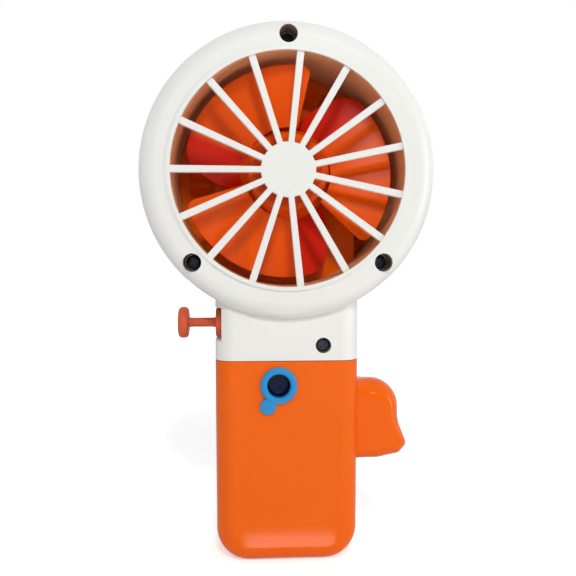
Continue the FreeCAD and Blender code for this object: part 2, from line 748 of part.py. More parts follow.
def make_trigger():
    body = new_body("trigger")
    points = ((FLANGE_X, "trigger_top"), ("trigger_reach", "trigger_top"),
              ("trigger_reach", "trigger_top - trigger_shoulder"),
              ("trigger_lip", "trigger_foot + 4.9"), ("trigger_lip - 3.0", "trigger_foot + 1.7"),
              ("neck_half + 8", "trigger_foot"), (FLANGE_X, "trigger_foot"))
    along_y(body, lambda s: outline(s, points), "-trigger_half", "trigger_half")

    def corner(x, z):
        return lambda e: runs_along(e, Y_WAY) and near(ends(e)[0].x, x, 0.1) and near(ends(e)[0].z, z, 0.1)

    round_edges(body, "trigger_top_round", corner("trigger_reach", "trigger_top"))
    round_edges(body, "trigger_grip_round", corner("trigger_reach", "trigger_top - trigger_shoulder"))
    round_edges(body, "1.9", corner("trigger_lip", "trigger_foot + 4.9"))
    round_edges(body, "1.2", corner("trigger_lip - 3.0", "trigger_foot + 1.7"))
    side = lambda e: on_plane(e, "Y", "trigger_half") or on_plane(e, "Y", "-trigger_half")
    round_edges(body, "trigger_side_round", lambda e: side(e) and e.BoundBox.XMax > number(FLANGE_X) + 1)
    flange = ("-flange_half", "flange_half", "pocket_floor + 0.4", "trigger_top + 1.9")
    along_x(body, lambda s: rectangle(s, *flange), FLANGE_X, FLANGE_FACE)
    web = (FLANGE_X, FLANGE_FACE, "trigger_top", RACK_LINE + " - 2")
    web_y = ("layer_start", "layer_start + web_depth")
    along_y(body, lambda s: rectangle(s, *web), *web_y)
    size = "module_size"
    root = "%s - %s * %s" % (RACK_LINE, DEDENDUM, size)
    crest = "%s + %s * %s" % (RACK_LINE, ADDENDUM, size)
    left = "input_gear_x - 3.2"
    along_y(body, lambda s: rectangle(s, left, FLANGE_FACE, RACK_LINE + " - 4.4", root), *web_y)
    lean = math.tan(PRESSURE_ANGLE)
    low = "(%s * %s * %.6f)" % (DEDENDUM, size, lean)
    high = "(%s * %s * %.6f)" % (ADDENDUM, size, lean)
    quarter = "(%s * %.6f - %.3f)" % (size, math.pi / 4, BACKLASH / 2)
    count = int((number(FLANGE_FACE) - number("input_gear_x") - 0.9) / (math.pi * number(size)))
    sketch = new_sketch(body, "XZ_Plane", "-(%s)" % web_y[1])
    for i in range(-1, count + 1):
        middle = "input_gear_x + %d * %.9f * %s" % (i, math.pi, size)
        left_side, right_side = "%s - %s" % (middle, quarter), "%s + %s" % (middle, quarter)
        outline(sketch, ((left_side + " - " + low, root), (right_side + " + " + low, root),
                         (right_side + " - " + high, crest), (left_side + " + " + high, crest)))
    teeth = feature(body, "Pad", sketch)
    bind(teeth, Length="web_depth")
    doc.recompute()
    middle_z = "(trigger_top + trigger_foot) / 2"
    along_x(body, lambda s: circle(s, "trigger_spring_radius + 0.6", "0", middle_z), FLANGE_X + " - 1",
            FLANGE_X + " + 12.5", True)
    return body


def arc_edge(start, turn, end):
    """The arc that leaves start and reaches end along two equal lines that meet at turn."""
    middle = (start + end) * 0.5
    height = (turn - middle).Length
    half = (end - start).Length / 2
    lean = math.atan2(height, half)
    radius = half / math.sin(lean)
    rise = (turn - middle) * (radius * (1 - math.cos(lean)) / height)
    return Part.Arc(start, middle + rise, end).toShape()


def coil(radius, length, wire, turns):
    """A compression spring along X from the origin, one eight-sided wire swept along joined arcs."""
    parts = 4
    sides = 8

    def spot(i):
        t = 2 * math.pi * i / parts
        travel = length * i / (turns * parts)
        place = Vector(travel, radius * math.cos(t), radius * math.sin(t))
        along = Vector(length / turns / (2 * math.pi), -radius * math.sin(t), radius * math.cos(t))
        return place, along.normalize()

    edges = []
    for i in range(turns * parts):
        a, ta = spot(i)
        b, tb = spot(i + 1)
        chord = b - a
        k = ta.dot(tb) - 1
        half = chord.dot(ta + tb)
        reach = (2 * half - math.sqrt(4 * half * half - 8 * k * chord.dot(chord))) / (4 * k)
        first = a + ta * reach
        second = b - tb * reach
        middle = (first + second) * 0.5
        edges += [arc_edge(a, first, middle), arc_edge(middle, second, b)]
    spine = Part.Wire(edges)
    place, along = spot(0)
    across = along.cross(X_WAY).normalize()
    upright = along.cross(across)
    reach = wire / 2 / math.cos(math.pi / sides)
    corners = []
    for i in range(sides + 1):
        turn = 2 * math.pi * i / sides
        corners.append(place + across * (reach * math.cos(turn)) + upright * (reach * math.sin(turn)))
    section = Part.makePolygon(corners)
    pipe = spine.makePipeShell([section], True, False)
    return pipe


def tube(points, bend, radius, bore):
    """A tube along straight runs joined by arcs."""
    spots = [Vector(*(number(text) for text in point)) for point in points]
    edges = []
    last = spots[0]
    for before, here, after in zip(spots, spots[1:], spots[2:]):
        into = (here - before).normalize()
        out = (after - here).normalize()
        cut = bend * math.tan(into.getAngle(out) / 2)
        start, end = here - into * cut, here + out * cut
        edges.append(Part.LineSegment(last, start).toShape())
        edges.append(arc_edge(start, here, end))
        last = end
    edges.append(Part.LineSegment(last, spots[-1]).toShape())
    spine = Part.Wire(edges)
    way = (spots[1] - spots[0]).normalize()
    rings = [Part.Wire([Part.Circle(spots[0], way, size).toShape()]) for size in (radius, bore)]
    outer, inner = [spine.makePipeShell([ring], True, False) for ring in rings]
    return outer.cut(inner)


# Mist pump

def make_plunger():
    body = new_body("plunger")
    face = COLLAR_FACE + " - plunger_travel - cap_clearance"
    waist = "stem_radius * 0.94"
    points = ((face + " - cap_depth", "0"), (face + " - cap_depth", "cap_radius"), (face, "cap_radius"),
              (face, "stem_radius"), (face + " + 1.2", waist), (COLLAR_FACE + " - 1.5", waist),
              (COLLAR_FACE + " - 0.4", "stem_radius"), (PISTON_X, "stem_radius"), (PISTON_X,
                                                                                   "barrel_bore - 0.25"),
              (PISTON_X + " + 0.7", "barrel_bore - 0.25"), (PISTON_X + " + 0.7", "barrel_bore - 1.1"),
              (PISTON_X + " + 1.9", "barrel_bore - 1.1"), (PISTON_X + " + 1.9", "barrel_bore - 0.25"),
              (PISTON_X + " + 2.6", "barrel_bore - 0.25"), (PISTON_X + " + 2.6", "0"))
    turned_x(body, points)
    rim = lambda e: isinstance(e.Curve, Part.Circle) and near(e.Curve.Radius, "cap_radius")
    round_edges(body, "0.7", rim)
    seal = new_body("piston_seal")
    start = PISTON_X + " + 0.72"
    end = PISTON_X + " + 1.88"
    turned_x(seal, ((start, "barrel_bore - 1.08"), (start, "barrel_bore - 0.05"),
                    (end, "barrel_bore - 0.05"),
                    (end, "barrel_bore - 1.08")))


def make_pump():
    nut = new_body("pump_collar")
    end = NOTCH_X + " + 2.4"
    turned_x(nut, ((COLLAR_FACE, "stem_radius + fit"), (COLLAR_FACE, "collar_radius"),
                   (NOTCH_X, "collar_radius"),
                   (NOTCH_X, "barrel_bore - 0.05"), (end, "barrel_bore - 0.05"), (end,
                                                                                  "stem_radius + fit")))
    rim = lambda e: isinstance(e.Curve, Part.Circle) and near(e.Curve.Radius,
                                                              "collar_radius") and near(e.Curve.Center.x,
                                                                                        COLLAR_FACE)
    round_edges(nut, "0.5", rim)
    barrel = new_body("pump_barrel")
    start = NOTCH_X + " + 0.05"
    turned_x(barrel, ((start, "barrel_bore"), (start, "barrel_radius"), ("barrel_end_x", "barrel_radius"),
                      ("barrel_end_x", "0"), ("barrel_end_x - 1.6", "0"), ("barrel_end_x - 1.6",
                                                                           "barrel_bore")))
    up = BARREL_TOP + " + 1.6"
    down = "pump_z - barrel_radius - 4.5"
    turned_z(barrel, (("0", "pump_z + barrel_bore + 0.3"), ("0", up), ("2.1", up),
                      ("2.1", "pump_z + barrel_bore + 0.3")),
             "port_x", "pump_y")
    turned_z(barrel, (("0", down), ("0", "pump_z - barrel_bore - 0.3"),
                      ("2.4", "pump_z - barrel_bore - 0.3"), ("2.4", down)),
             "port_x", "pump_y")
    turned_z(barrel, (("0", "pump_z"), ("0", up + " + 1"), ("tube_bore", up + " + 1"),
                      ("tube_bore", "pump_z")),
             "port_x", "pump_y", True)
    ball = "pump_z - barrel_radius - 2.6"
    inlet = (("0", down + " - 1"), ("0", "pump_z"), ("0.7", "pump_z"), ("0.7", ball + " + 1.6"),
             ("1.3", ball + " + 1.6"), ("1.3", ball + " - 0.6"), ("0.7", ball + " - 1"),
             ("0.7", down + " - 1"))
    turned_z(barrel, inlet, "port_x", "pump_y", True)
    spring_radius = number("barrel_bore - plunger_spring_wire / 2 - 0.3")
    start = PISTON_X + " + 2.6 + plunger_spring_wire / 2 + 0.05"
    length = number("barrel_end_x - 1.6 - plunger_spring_wire / 2 - 0.05") - number(start)
    set_piece("plunger_spring", coil(spring_radius, length, number("plunger_spring_wire"), 7), start,
              "pump_y", "pump_z")
    set_piece("valve_ball", Part.makeSphere(1.0), "port_x", "pump_y", ball)
    low = "4"
    top = down + " - 0.05"
    wall = (("tube_bore", low), ("tube_radius", low), ("tube_radius", top), ("tube_bore", top))
    turned_z(new_body("suction_tube"), wall, "port_x", "pump_y")
    path = (("port_x", "pump_y", up + " + 0.05"), ("port_x", "pump_y", TUBE_LEVEL),
            ("tube_up_x", "pump_y", TUBE_LEVEL),
            ("tube_up_x", "nozzle_y", TUBE_LEVEL), ("tube_up_x", "nozzle_y", "axis_height"),
            ("-nozzle_radius - 0.05", "nozzle_y", "axis_height"))
    set_piece("delivery_tube", tube(path, 1.9, number("tube_radius"), number("tube_bore")))


def make_nozzle():
    body = new_body("nozzle")
    start = SOCKET_START + " + 0.1"
    face = "front_reach + 1.4"
    turned_y(body, ((start, "0"), (start, "nozzle_radius"), ("front_reach + 0.1", "nozzle_radius"),
                    ("front_reach + 0.1", "nozzle_radius + 1.2"), (face, "nozzle_radius + 0.3"), (face,
                                                                                                  "0")))
    along_y(body, lambda s: circle(s, "0.4"), "nozzle_y", "front_reach + 3", True, True)
    along_y(body, lambda s: circle(s, "1.3"), face + " - 0.6", "front_reach + 3", True, True)
    along_x(body, lambda s: circle(s, "tube_bore", "nozzle_y", "0"), "-nozzle_radius - 1", "0", True,
            "axis_height")


# Tank, lid and plug

def tank_outline():
    return (("-foot_half", "0"), ("foot_half", "0"), ("neck_half", "joint_height"),
            ("-neck_half", "joint_height"))


def make_water_tank():
    body = new_body("water_tank")
    along_y(body, lambda s: outline(s, tank_outline()), "-depth_half", "depth_half")
    round_edges(body, "foot_corner", lambda e: runs_along(e, Y_WAY) and near(ends(e)[0].z, "0"))
    faces = lambda e: on_plane(e, "Y", "depth_half") or on_plane(e, "Y", "-depth_half")
    round_edges(body, "edge_round", lambda e: faces(e) and not on_plane(e, "Z", "joint_height"))
    low, bevel = "foot_half - wall", "(%s * 0.6)" % CAVITY_ROUND
    corner = "(foot_corner * 0.6)"
    for inset, deep in (("0", "(%s - %s)" % (INNER_DEPTH, bevel)), (bevel, INNER_DEPTH)):
        left, foot, top = "(%s - %s)" % (low, inset), "(wall + %s)" % inset, "joint_height + 1"
        upper = "(%s - %s)" % (INNER_HALF, inset)
        cavity = (("-%s + %s" % (left, corner), foot), ("%s - %s" % (left, corner), foot),
                  (left, "%s + %s" % (foot, corner)), (left, "pocket_floor - wall"), ("tank_wall_x",
                                                                                      "pocket_floor - wall"),
                  ("tank_wall_x", top), ("-" + upper, top), ("-" + left, "%s + %s" % (foot, corner)))
        along_y(body, lambda s: outline(s, cavity), "-" + deep, deep, cut=True)
        pocket = ("pocket_wall_x", "%s + 0.1 - %s" % (FLANGE_FACE, inset), "pocket_floor", top)
        along_y(body, lambda s: rectangle(s, *pocket), "-" + deep, deep, cut=True)
    slot = ("-trigger_half - play", "trigger_half + play", "trigger_foot - play", "trigger_top + play")
    along_x(body, lambda s: rectangle(s, *slot), "foot_half - wall - 1", "neck_half + 1", True)
    seat = ("plug_x", "plug_z")
    along_y(body, lambda s: circle(s, "plug_shank + 0.1", *seat), "-depth_half - 1",
            "-depth_half + wall + 1", True)
    return body


def make_tank_lid():
    body = new_body("tank_lid")
    reach, deep, step = "%s - 0.15" % INNER_HALF, "%s - 0.15" % INNER_DEPTH, "%s * 0.6" % CAVITY_ROUND
    right = "tank_wall_x - 0.1"
    left, inset = "-(%s)" % reach, "-(%s) + %s" % (reach, step)
    shoulder = "%s - %s" % (deep, step)
    plate = ((left, "-(%s)" % shoulder), (inset, "-(%s)" % shoulder), (inset, "-(%s)" % deep),
             (right, "-(%s)" % deep),
             (right, deep), (inset, deep), (inset, shoulder), (left, shoulder))
    along_z(body, lambda s: outline(s, plate), "lid_top - wall", "lid_top")
    x, z = COVER_SCREWS[2]
    lug = (x + " - 2.8", x + " + 2.8", "lid_top - 0.5", z + " + 3")
    along_y(body, lambda s: rectangle(s, *lug), COVER_FRONT + " + 0.05", LUG_FRONT)
    along_y(body, lambda s: circle(s, "screw_radius * 0.7 + 0.1", x, z), COVER_FRONT + " - 1",
            LUG_FRONT + " + 1", True)
    along_z(body, lambda s: circle(s, "tube_radius + 1.0", "port_x", "pump_y"), "lid_top - 4",
            "lid_top + 2", True)
    grommet = new_body("tube_grommet")
    tight = "tube_radius + fit"
    low, high = "lid_top - wall", "lid_top"
    turned_z(grommet, ((tight, low + " - 0.8"), ("tube_radius + 1.8", low + " - 0.8"),
                       ("tube_radius + 1.8", low + " - 0.05"),
                       ("tube_radius + 0.95", low + " - 0.05"), ("tube_radius + 0.95", high + " + 0.05"),
                       ("tube_radius + 1.8", high + " + 0.05"), ("tube_radius + 1.8",
                                                                 high + " + 0.8"), (tight,
                                                                                    high + " + 0.8")),
             "port_x", "pump_y")


def make_filler_plug():
    body = new_body("filler_plug")
    face = "-depth_half - 1.3"
    back = "-depth_half - 0.05"
    turned_y(body, ((face, "plug_recess"), (face + " - 0.3", "plug_recess + 0.4"),
                    (face + " - 0.3", "plug_recess + 0.9"),
                    (face, "plug_recess + 1.3"), (face, "plug_radius - 0.5"), (face + " + 0.5",
                                                                               "plug_radius"),
                    (back, "plug_radius"), (back, "plug_shank"), ("-depth_half + 4.8", "plug_shank - 0.3"),
                    ("-depth_half + 4.8", "0"), ("-depth_half + 3.6", "0"), ("-depth_half + 3.6",
                                                                             "plug_recess - 0.2")),
             up="plug_z")
    sketch = [item for item in body.Group if item.TypeId.startswith("Sketcher")][0]
    bind(sketch, AttachmentOffset__Base__z="plug_x")
    doc.recompute()
    tab_face = face + " + 0.2"
    along_y(body, lambda s: circle(s, "tab_radius", "tab_x", "tab_z"), tab_face, back)
    dx, dz = "(plug_x - tab_x)", "(plug_z - tab_z)"
    length = "sqrt(%s^2 + %s^2)" % (dx, dz)
    across_x, across_z = "(%s / %s * 1.6)" % (dz, length), "(%s / %s * 1.6)" % (dx, length)
    near_x, near_z = "(plug_x - %s * 0.62)" % dx, "(plug_z - %s * 0.62)" % dz
    strap = (("tab_x - %s" % across_x, "tab_z + %s" % across_z),
             ("tab_x + %s" % across_x, "tab_z - %s" % across_z),
             ("%s + %s" % (near_x, across_x), "%s - %s" % (near_z, across_z)),
             ("%s - %s" % (near_x, across_x), "%s + %s" % (near_z, across_z)))
    along_y(body, lambda s: outline(s, strap), tab_face + " + 0.15", back)
    return body


# Axles and fasteners

def pin(x, z, start, end, radius="axle_radius"):
    return Part.makeCylinder(number(radius), number(end) - number(start),
                             Vector(number(x), number(start), number(z)), Y_WAY)


def screw(x, z, seat, head, length, shank="screw_radius", height="screw_head_height"):
    """A pan head screw whose head stands behind its seat."""
    reach, tall = number(head), number(height)
    base = Vector(number(x), number(seat), number(z))
    cap = Part.makeCylinder(reach, tall, base - Vector(0, tall, 0), Y_WAY)
    rim = []
    for edge in cap.Edges:
        if isinstance(edge.Curve, Part.Circle) and abs(edge.Curve.Center.y - base.y + tall) < 0.01:
            rim.append(edge)
    cap = cap.makeFillet(min(tall, reach) * 0.4, rim)
    return cap.fuse(Part.makeCylinder(number(shank), number(length), base, Y_WAY))


def make_fasteners():
    front = "front_reach - wall - 0.1"
    first = pin("input_gear_x", INPUT_Z, "cover_face + 0.65", front)
    second = pin("middle_gear_x", MIDDLE_Z, "cover_face + 0.65", front)
    set_piece("gear_axles", Part.makeCompound([first, second]))
    set_piece("fan_shaft", pin("0", "axis_height", "-rotor_rear + hub_shell + 0.4",
                               SOCKET_START + " - 0.9"))
    washer = new_body("thrust_washer")
    start, end = "cover_face - 0.75", "cover_face - 0.1"
    turned_y(washer, ((start, "axle_radius + fit"), (start, "axle_radius + 1.8"),
                      (end, "axle_radius + 1.8"), (end, "axle_radius + fit")))
    heads = []
    for angle in HEAD_SCREW_ANGLES:
        x, z = polar("head_screw_circle", angle)
        heads.append(screw(x, "axis_height + " + z, "-rear_reach + head_bore_depth - 0.02", "screw_head",
                           "head_screw_length"))
    set_piece("head_screws", Part.makeCompound(heads))
    set_piece("neck_screw", screw("neck_screw_x", "neck_screw_z", "-depth_half + neck_bore_depth - 0.02",
                                  "neck_bore - 0.3",
                                  "neck_screw_length"))
    seat = "cover_face - 0.02"
    small = [screw(x, z, seat, "cover_screw_head", "cover_screw_length", "screw_radius * 0.7",
                   "screw_head_height / 2")
             for x, z in COVER_SCREWS]
    set_piece("cover_screws", Part.makeCompound(small))


def make_trigger_spring():
    start = "pocket_wall_x + trigger_spring_wire / 2 + 0.05"
    length = number(FLANGE_X + " + 12.4 - trigger_spring_wire / 2") - number(start)
    middle_z = "(trigger_top + trigger_foot) / 2"
    shape = coil(number("trigger_spring_radius - trigger_spring_wire / 2"), length,
                 number("trigger_spring_wire"), 9)
    set_piece("trigger_spring", shape, start, "0", middle_z)


make_rear_housing()
make_front_housing()
make_gearbox_cover()
make_front_grille()
make_gears()
make_rotor()
make_trigger()
make_trigger_spring()
make_plunger()
make_pump()
make_nozzle()
make_water_tank()
make_tank_lid()
make_filler_plug()
make_fasteners()
doc.recompute()

pieces = [item for item in doc.Objects if item.TypeId in ("PartDesign::Body", "Part::Feature")]
for item in doc.Objects:
    if "Invalid" in item.State or "Error" in item.State:
        raise RuntimeError("%s failed" % item.Label)
for item in pieces:
    if item.Shape.isNull() or not item.Shape.isValid():
        raise RuntimeError("%s has no valid shape" % item.Label)

os.makedirs("parts", exist_ok=True)
for item in pieces:
    item.Shape.exportStep("parts/%s.step" % item.Label)
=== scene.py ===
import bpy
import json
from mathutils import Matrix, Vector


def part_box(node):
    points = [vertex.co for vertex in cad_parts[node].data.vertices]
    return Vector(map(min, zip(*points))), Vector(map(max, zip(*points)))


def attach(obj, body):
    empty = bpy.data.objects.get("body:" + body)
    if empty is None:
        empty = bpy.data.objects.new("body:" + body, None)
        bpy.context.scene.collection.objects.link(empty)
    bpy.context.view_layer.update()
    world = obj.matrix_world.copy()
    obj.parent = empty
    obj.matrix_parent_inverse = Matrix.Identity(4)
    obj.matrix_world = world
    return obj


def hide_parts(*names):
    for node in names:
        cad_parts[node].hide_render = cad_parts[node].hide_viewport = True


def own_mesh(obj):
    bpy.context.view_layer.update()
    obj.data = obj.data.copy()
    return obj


bl_info = {
    "name": "Squeeze-trigger mist fan",
    "version": (1, 0, 0),
    "blender": (4, 5, 0),
    "location": "View3D > Sidebar > Mist fan",
    "description": "Dresses the packed mist fan: plastics, rubber, steel, grille, trigger, plug, screws",
    "category": "Add Mesh",
}

import json
import math

import bmesh
import bpy
from mathutils import Vector

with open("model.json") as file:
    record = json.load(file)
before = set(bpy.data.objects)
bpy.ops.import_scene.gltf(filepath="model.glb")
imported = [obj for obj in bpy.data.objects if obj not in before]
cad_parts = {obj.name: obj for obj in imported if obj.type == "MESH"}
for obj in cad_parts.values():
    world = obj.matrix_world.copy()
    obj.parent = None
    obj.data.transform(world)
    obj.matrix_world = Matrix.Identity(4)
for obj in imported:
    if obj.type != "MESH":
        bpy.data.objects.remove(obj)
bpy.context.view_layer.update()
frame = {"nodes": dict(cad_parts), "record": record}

# Places read from the frame, in metres

JOINTS = {joint["name"]: joint for joint in frame["record"]["behaviour"]["joints"]}
AXIS_HEIGHT = JOINTS["fan_spin"]["pos_m"][2]
REAR_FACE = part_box("rear_housing")[0].y
MILLIMETRE = 0.001


def mm(value):
    return value * MILLIMETRE


# Sizes of the solids that the finishes follow

DUCT_RADIUS = mm(38.65)
GRILLE_DEPTH = mm(3.0)
HEAD_SCREW_CIRCLE = mm(44.025)
HEAD_SCREW_ANGLES = (90, 224, 316)
HEAD_BORE, NECK_BORE = mm(3.02), mm(2.62)
HEAD_SEAT = mm(-10.52)
NECK_SEAT = mm(-10.42)
NECK_FACE = mm(-13.7)
COVER_SEAT = mm(2.48)
COVER_SCREW_SIDE, COVER_SCREW_RISE, LOW_COVER_SCREW = mm(15), mm(9.2), mm(-18.8)
PLUG_X, PLUG_Z = mm(-3.0), mm(61.7)
BLADES = 3
BLADE_SPACING = 360 / BLADES
JOIN, CAD_JOIN = 1e-7, 1e-6


# Sizes and colours that a user would change

def length(name, description, default):
    return bpy.props.FloatProperty(name=name, description=description, default=default, unit="LENGTH",
                                   precision=5)


def angle(name, description, default):
    return bpy.props.FloatProperty(name=name, description=description, default=default, unit="ROTATION",
                                   precision=4)


def colour(name, description, default):
    return bpy.props.FloatVectorProperty(name=name, description=description, default=default,
                                         subtype="COLOR", size=3, min=0.0, max=1.0)


class MistFanColours(bpy.types.PropertyGroup):
    white: colour("White plastic", "Moulded head, grille and neck", (0.80, 0.80, 0.765))
    orange: colour("Orange plastic", "Tank, trigger, gearbox arm and outlet guard", (0.85, 0.125, 0.001))
    rotor: colour("Rotor plastic", "Three-blade rotor", (0.82, 0.095, 0.001))
    terracotta: colour("Pump plastic", "Push pump's cap, stem and collar", (0.62, 0.095, 0.030))
    blue: colour("Blue rubber", "Filler plug and its pull tab", (0.022, 0.27, 0.60))
    gear: colour("Gear plastic", "Unpainted gears", (0.74, 0.71, 0.62))
    tube: colour("Tube plastic", "Milky water tubes", (0.72, 0.76, 0.74))
    black: colour("Black rubber", "Seal and grommet", (0.018, 0.018, 0.018))
    steel: colour("Steel", "Screws, axles and springs", (0.52, 0.52, 0.53))
    screw: colour("Screw finish", "Blackened screw heads", (0.075, 0.090, 0.120))
    # Painted shade: a darker colour for the blades' trailing third, standing in for their shadow.
    trailing: colour("Blade shade", "Deeper tone of the blades' thin trailing third", (0.66, 0.014, 0.0005))
    seam: colour("Joint seam", "Shadowed line where the tank meets the neck", (0.30, 0.055, 0.012))
    # Painted shade: a brownish grey for the walls of the deep screw bores, standing in for their shadow.
    bore: colour("Bore wall", "Wall of the deep screw bores", (0.34, 0.25, 0.205))
    # Painted shade and painted orange bounce light from the rotor, on the head's white inside wall.
    duct: colour("Duct wall", "Inside wall of the head, tinted by the rotor", (0.78, 0.42, 0.20))
    # Painted shade: near-black blue for the bottom and wall of the plug's cup, standing in for its shadow.
    well: colour("Plug well", "Bottom of the filler plug's cup", (0.002, 0.010, 0.060))
    backdrop: colour("Backdrop", "Floor under the fan", (1.0, 1.0, 1.0))


class MistFanSizes(bpy.types.PropertyGroup):
    spoke_round: length("Spoke rounding", "Radius on the long edges of the grille's spokes", mm(0.55))
    cross_width: length("Cross width", "Width of one arm of the screws' cross recess", mm(0.75))
    cross_depth: length("Cross depth", "Depth of the screws' cross recess", mm(0.9))
    camera_distance: length("Camera distance", "From the head's rear face to the lens", mm(229.5))
    camera_side: length("Camera side step", "How far the lens stands beside the fan's axis", mm(13.8))
    camera_drop: length("Camera drop", "Lens height below the fan's axis", mm(29.05))
    camera_yaw: angle("Camera yaw", "Turn of the lens towards the trigger", 0.059)
    camera_pitch: angle("Camera pitch", "Turn of the lens towards the foot", 0.043)
    lens: bpy.props.FloatProperty(name="Lens", description="Focal length on a 36 mm sensor, in mm",
                                  default=43.7)


# Shader groups

def socket(tree, name, kind, default=None, output=False):
    item = tree.interface.new_socket(name=name, in_out="OUTPUT" if output else "INPUT", socket_type=kind)
    if default is not None:
        item.default_value = default
    return item


def node(tree, kind, **values):
    item = tree.nodes.new(kind)
    for key, value in values.items():
        setattr(item, key, value)
    return item


def feed(tree, place, value):
    """Link a socket to an input, or set the input to a number."""
    if isinstance(value, (int, float)):
        place.default_value = value
    else:
        tree.links.new(value, place)


def maths(tree, operation, *values, clamp=False):
    item = node(tree, "ShaderNodeMath", operation=operation, use_clamp=clamp)
    for place, value in zip(item.inputs, values):
        feed(tree, place, value)
    return item.outputs[0]


def vector(tree, **parts):
    item = node(tree, "ShaderNodeCombineXYZ")
    for axis, value in parts.items():
        feed(tree, item.inputs[axis], value)
    return item.outputs[0]


def noise(tree, place, scale, detail=2.0):
    item = node(tree, "ShaderNodeTexNoise")
    feed(tree, item.inputs["Scale"], scale)
    feed(tree, item.inputs["Detail"], detail)
    tree.links.new(place, item.inputs["Vector"])
    return item.outputs["Fac"]


def scaled(tree, colour, amount):
    item = node(tree, "ShaderNodeVectorMath", operation="SCALE")
    tree.links.new(colour, item.inputs[0])
    tree.links.new(amount, item.inputs["Scale"])
    return item.outputs[0]


def shader_group(name, colour, numbers):
    """A group with a colour and numbers going in, and Base Color, Roughness and Height coming out."""
    tree = bpy.data.node_groups.new(name, "ShaderNodeTree")
    socket(tree, "Colour", "NodeSocketColor", colour)
    for label, value in numbers.items():
        socket(tree, label, "NodeSocketFloat", value)
    socket(tree, "Base Color", "NodeSocketColor", output=True)
    for label in ("Roughness", "Height"):
        socket(tree, label, "NodeSocketFloat", output=True)
    return tree, node(tree, "NodeGroupInput").outputs, node(tree, "NodeGroupOutput").inputs


def moulded_group():
    """Fine mould grain, slow drift of tint and gloss, for plastics and rubber."""
    numbers = {"Tint drift": 0.04, "Roughness": 0.3, "Gloss drift": 0.06, "Grain scale": 2500.0, "Grain": 0.2}
    tree, given, result = shader_group("moulded_surface", (0.8, 0.8, 0.8, 1.0), numbers)
    place = node(tree, "ShaderNodeTexCoord").outputs["Object"]
    drift = maths(tree, "SUBTRACT", noise(tree, place, 28.0, 3.0), 0.5)
    tint = maths(tree, "MULTIPLY_ADD", drift, given["Tint drift"], 1.0)
    gloss = maths(tree, "MULTIPLY_ADD", drift, given["Gloss drift"], given["Roughness"], clamp=True)
    grain = noise(tree, place, given["Grain scale"])
    tree.links.new(scaled(tree, given["Colour"], tint), result["Base Color"])
    tree.links.new(gloss, result["Roughness"])
    tree.links.new(maths(tree, "MULTIPLY", grain, given["Grain"]), result["Height"])
    return tree


def brushed_group():
    """Turned and drawn steel: tight streaks and small stains."""
    tree, given, result = shader_group("turned_steel", (0.5, 0.5, 0.5, 1.0), {"Roughness": 0.25})
    place = node(tree, "ShaderNodeTexCoord").outputs["Object"]
    stretch = node(tree, "ShaderNodeMapping")
    stretch.inputs["Scale"].default_value = (3000.0, 300.0, 3000.0)
    tree.links.new(place, stretch.inputs["Vector"])
    streak = noise(tree, stretch.outputs[0], 1.0)
    stain = node(tree, "ShaderNodeMapRange")
    stain.inputs["To Min"].default_value = 0.85
    stain.inputs["To Max"].default_value = 1.1
    tree.links.new(noise(tree, place, 300.0), stain.inputs["Value"])
    gloss = maths(tree, "MULTIPLY_ADD", streak, 0.2, given["Roughness"], clamp=True)
    tree.links.new(scaled(tree, given["Colour"], stain.outputs["Result"]), result["Base Color"])
    tree.links.new(gloss, result["Roughness"])
    tree.links.new(streak, result["Height"])
    return tree


# Materials

def finish_material(name, group, values, specular=0.5, metallic=0.0, bump=mm(0.02), shade=None):
    """One material: a shader group's colour, roughness and height into its own Principled shader."""
    item = bpy.data.materials.new(name)
    item.use_nodes = True
    tree = item.node_tree
    link = tree.links.new
    shader = tree.nodes["Principled BSDF"]
    pattern = node(tree, "ShaderNodeGroup", node_tree=group)
    for key, value in values.items():
        pattern.inputs[key].default_value = (*value, 1.0) if hasattr(value, "__len__") else value
    # A second colour blended in through a mask, used for painted shade.
    if shade:
        mask, tone = shade
        blend = node(tree, "ShaderNodeMix", data_type="RGBA")
        blend.inputs["A"].default_value = (*values["Colour"], 1.0)
        blend.inputs["B"].default_value = (*tone, 1.0)
        link(mask(tree), blend.inputs["Factor"])
        link(blend.outputs["Result"], pattern.inputs["Colour"])
    link(pattern.outputs["Base Color"], shader.inputs["Base Color"])
    link(pattern.outputs["Roughness"], shader.inputs["Roughness"])
    relief = node(tree, "ShaderNodeBump")
    relief.inputs["Distance"].default_value = bump
    relief.inputs["Strength"].default_value = 0.6
    link(pattern.outputs["Height"], relief.inputs["Height"])
    link(relief.outputs["Normal"], shader.inputs["Normal"])
    shader.inputs["Metallic"].default_value = metallic
    shader.inputs["Specular IOR Level"].default_value = specular
    return item


def soft_step(tree, value, low, high):
    item = node(tree, "ShaderNodeMapRange", interpolation_type="SMOOTHSTEP")
    item.inputs["From Min"].default_value = low
    item.inputs["From Max"].default_value = high
    tree.links.new(value, item.inputs["Value"])
    return item.outputs["Result"]


def object_place(tree):
    place = node(tree, "ShaderNodeTexCoord")
    parts = node(tree, "ShaderNodeSeparateXYZ")
    tree.links.new(place.outputs["Object"], parts.inputs[0])
    return parts.outputs


def from_axis(tree, x, z):
    """Sideways and upward distance from a line along Y."""
    place = object_place(tree)
    return maths(tree, "SUBTRACT", place["X"], x), maths(tree, "SUBTRACT", place["Z"], z)


def reach(tree, across, upward):
    squares = [maths(tree, "MULTIPLY", part, part) for part in (across, upward)]
    return maths(tree, "SQRT", maths(tree, "ADD", *squares))


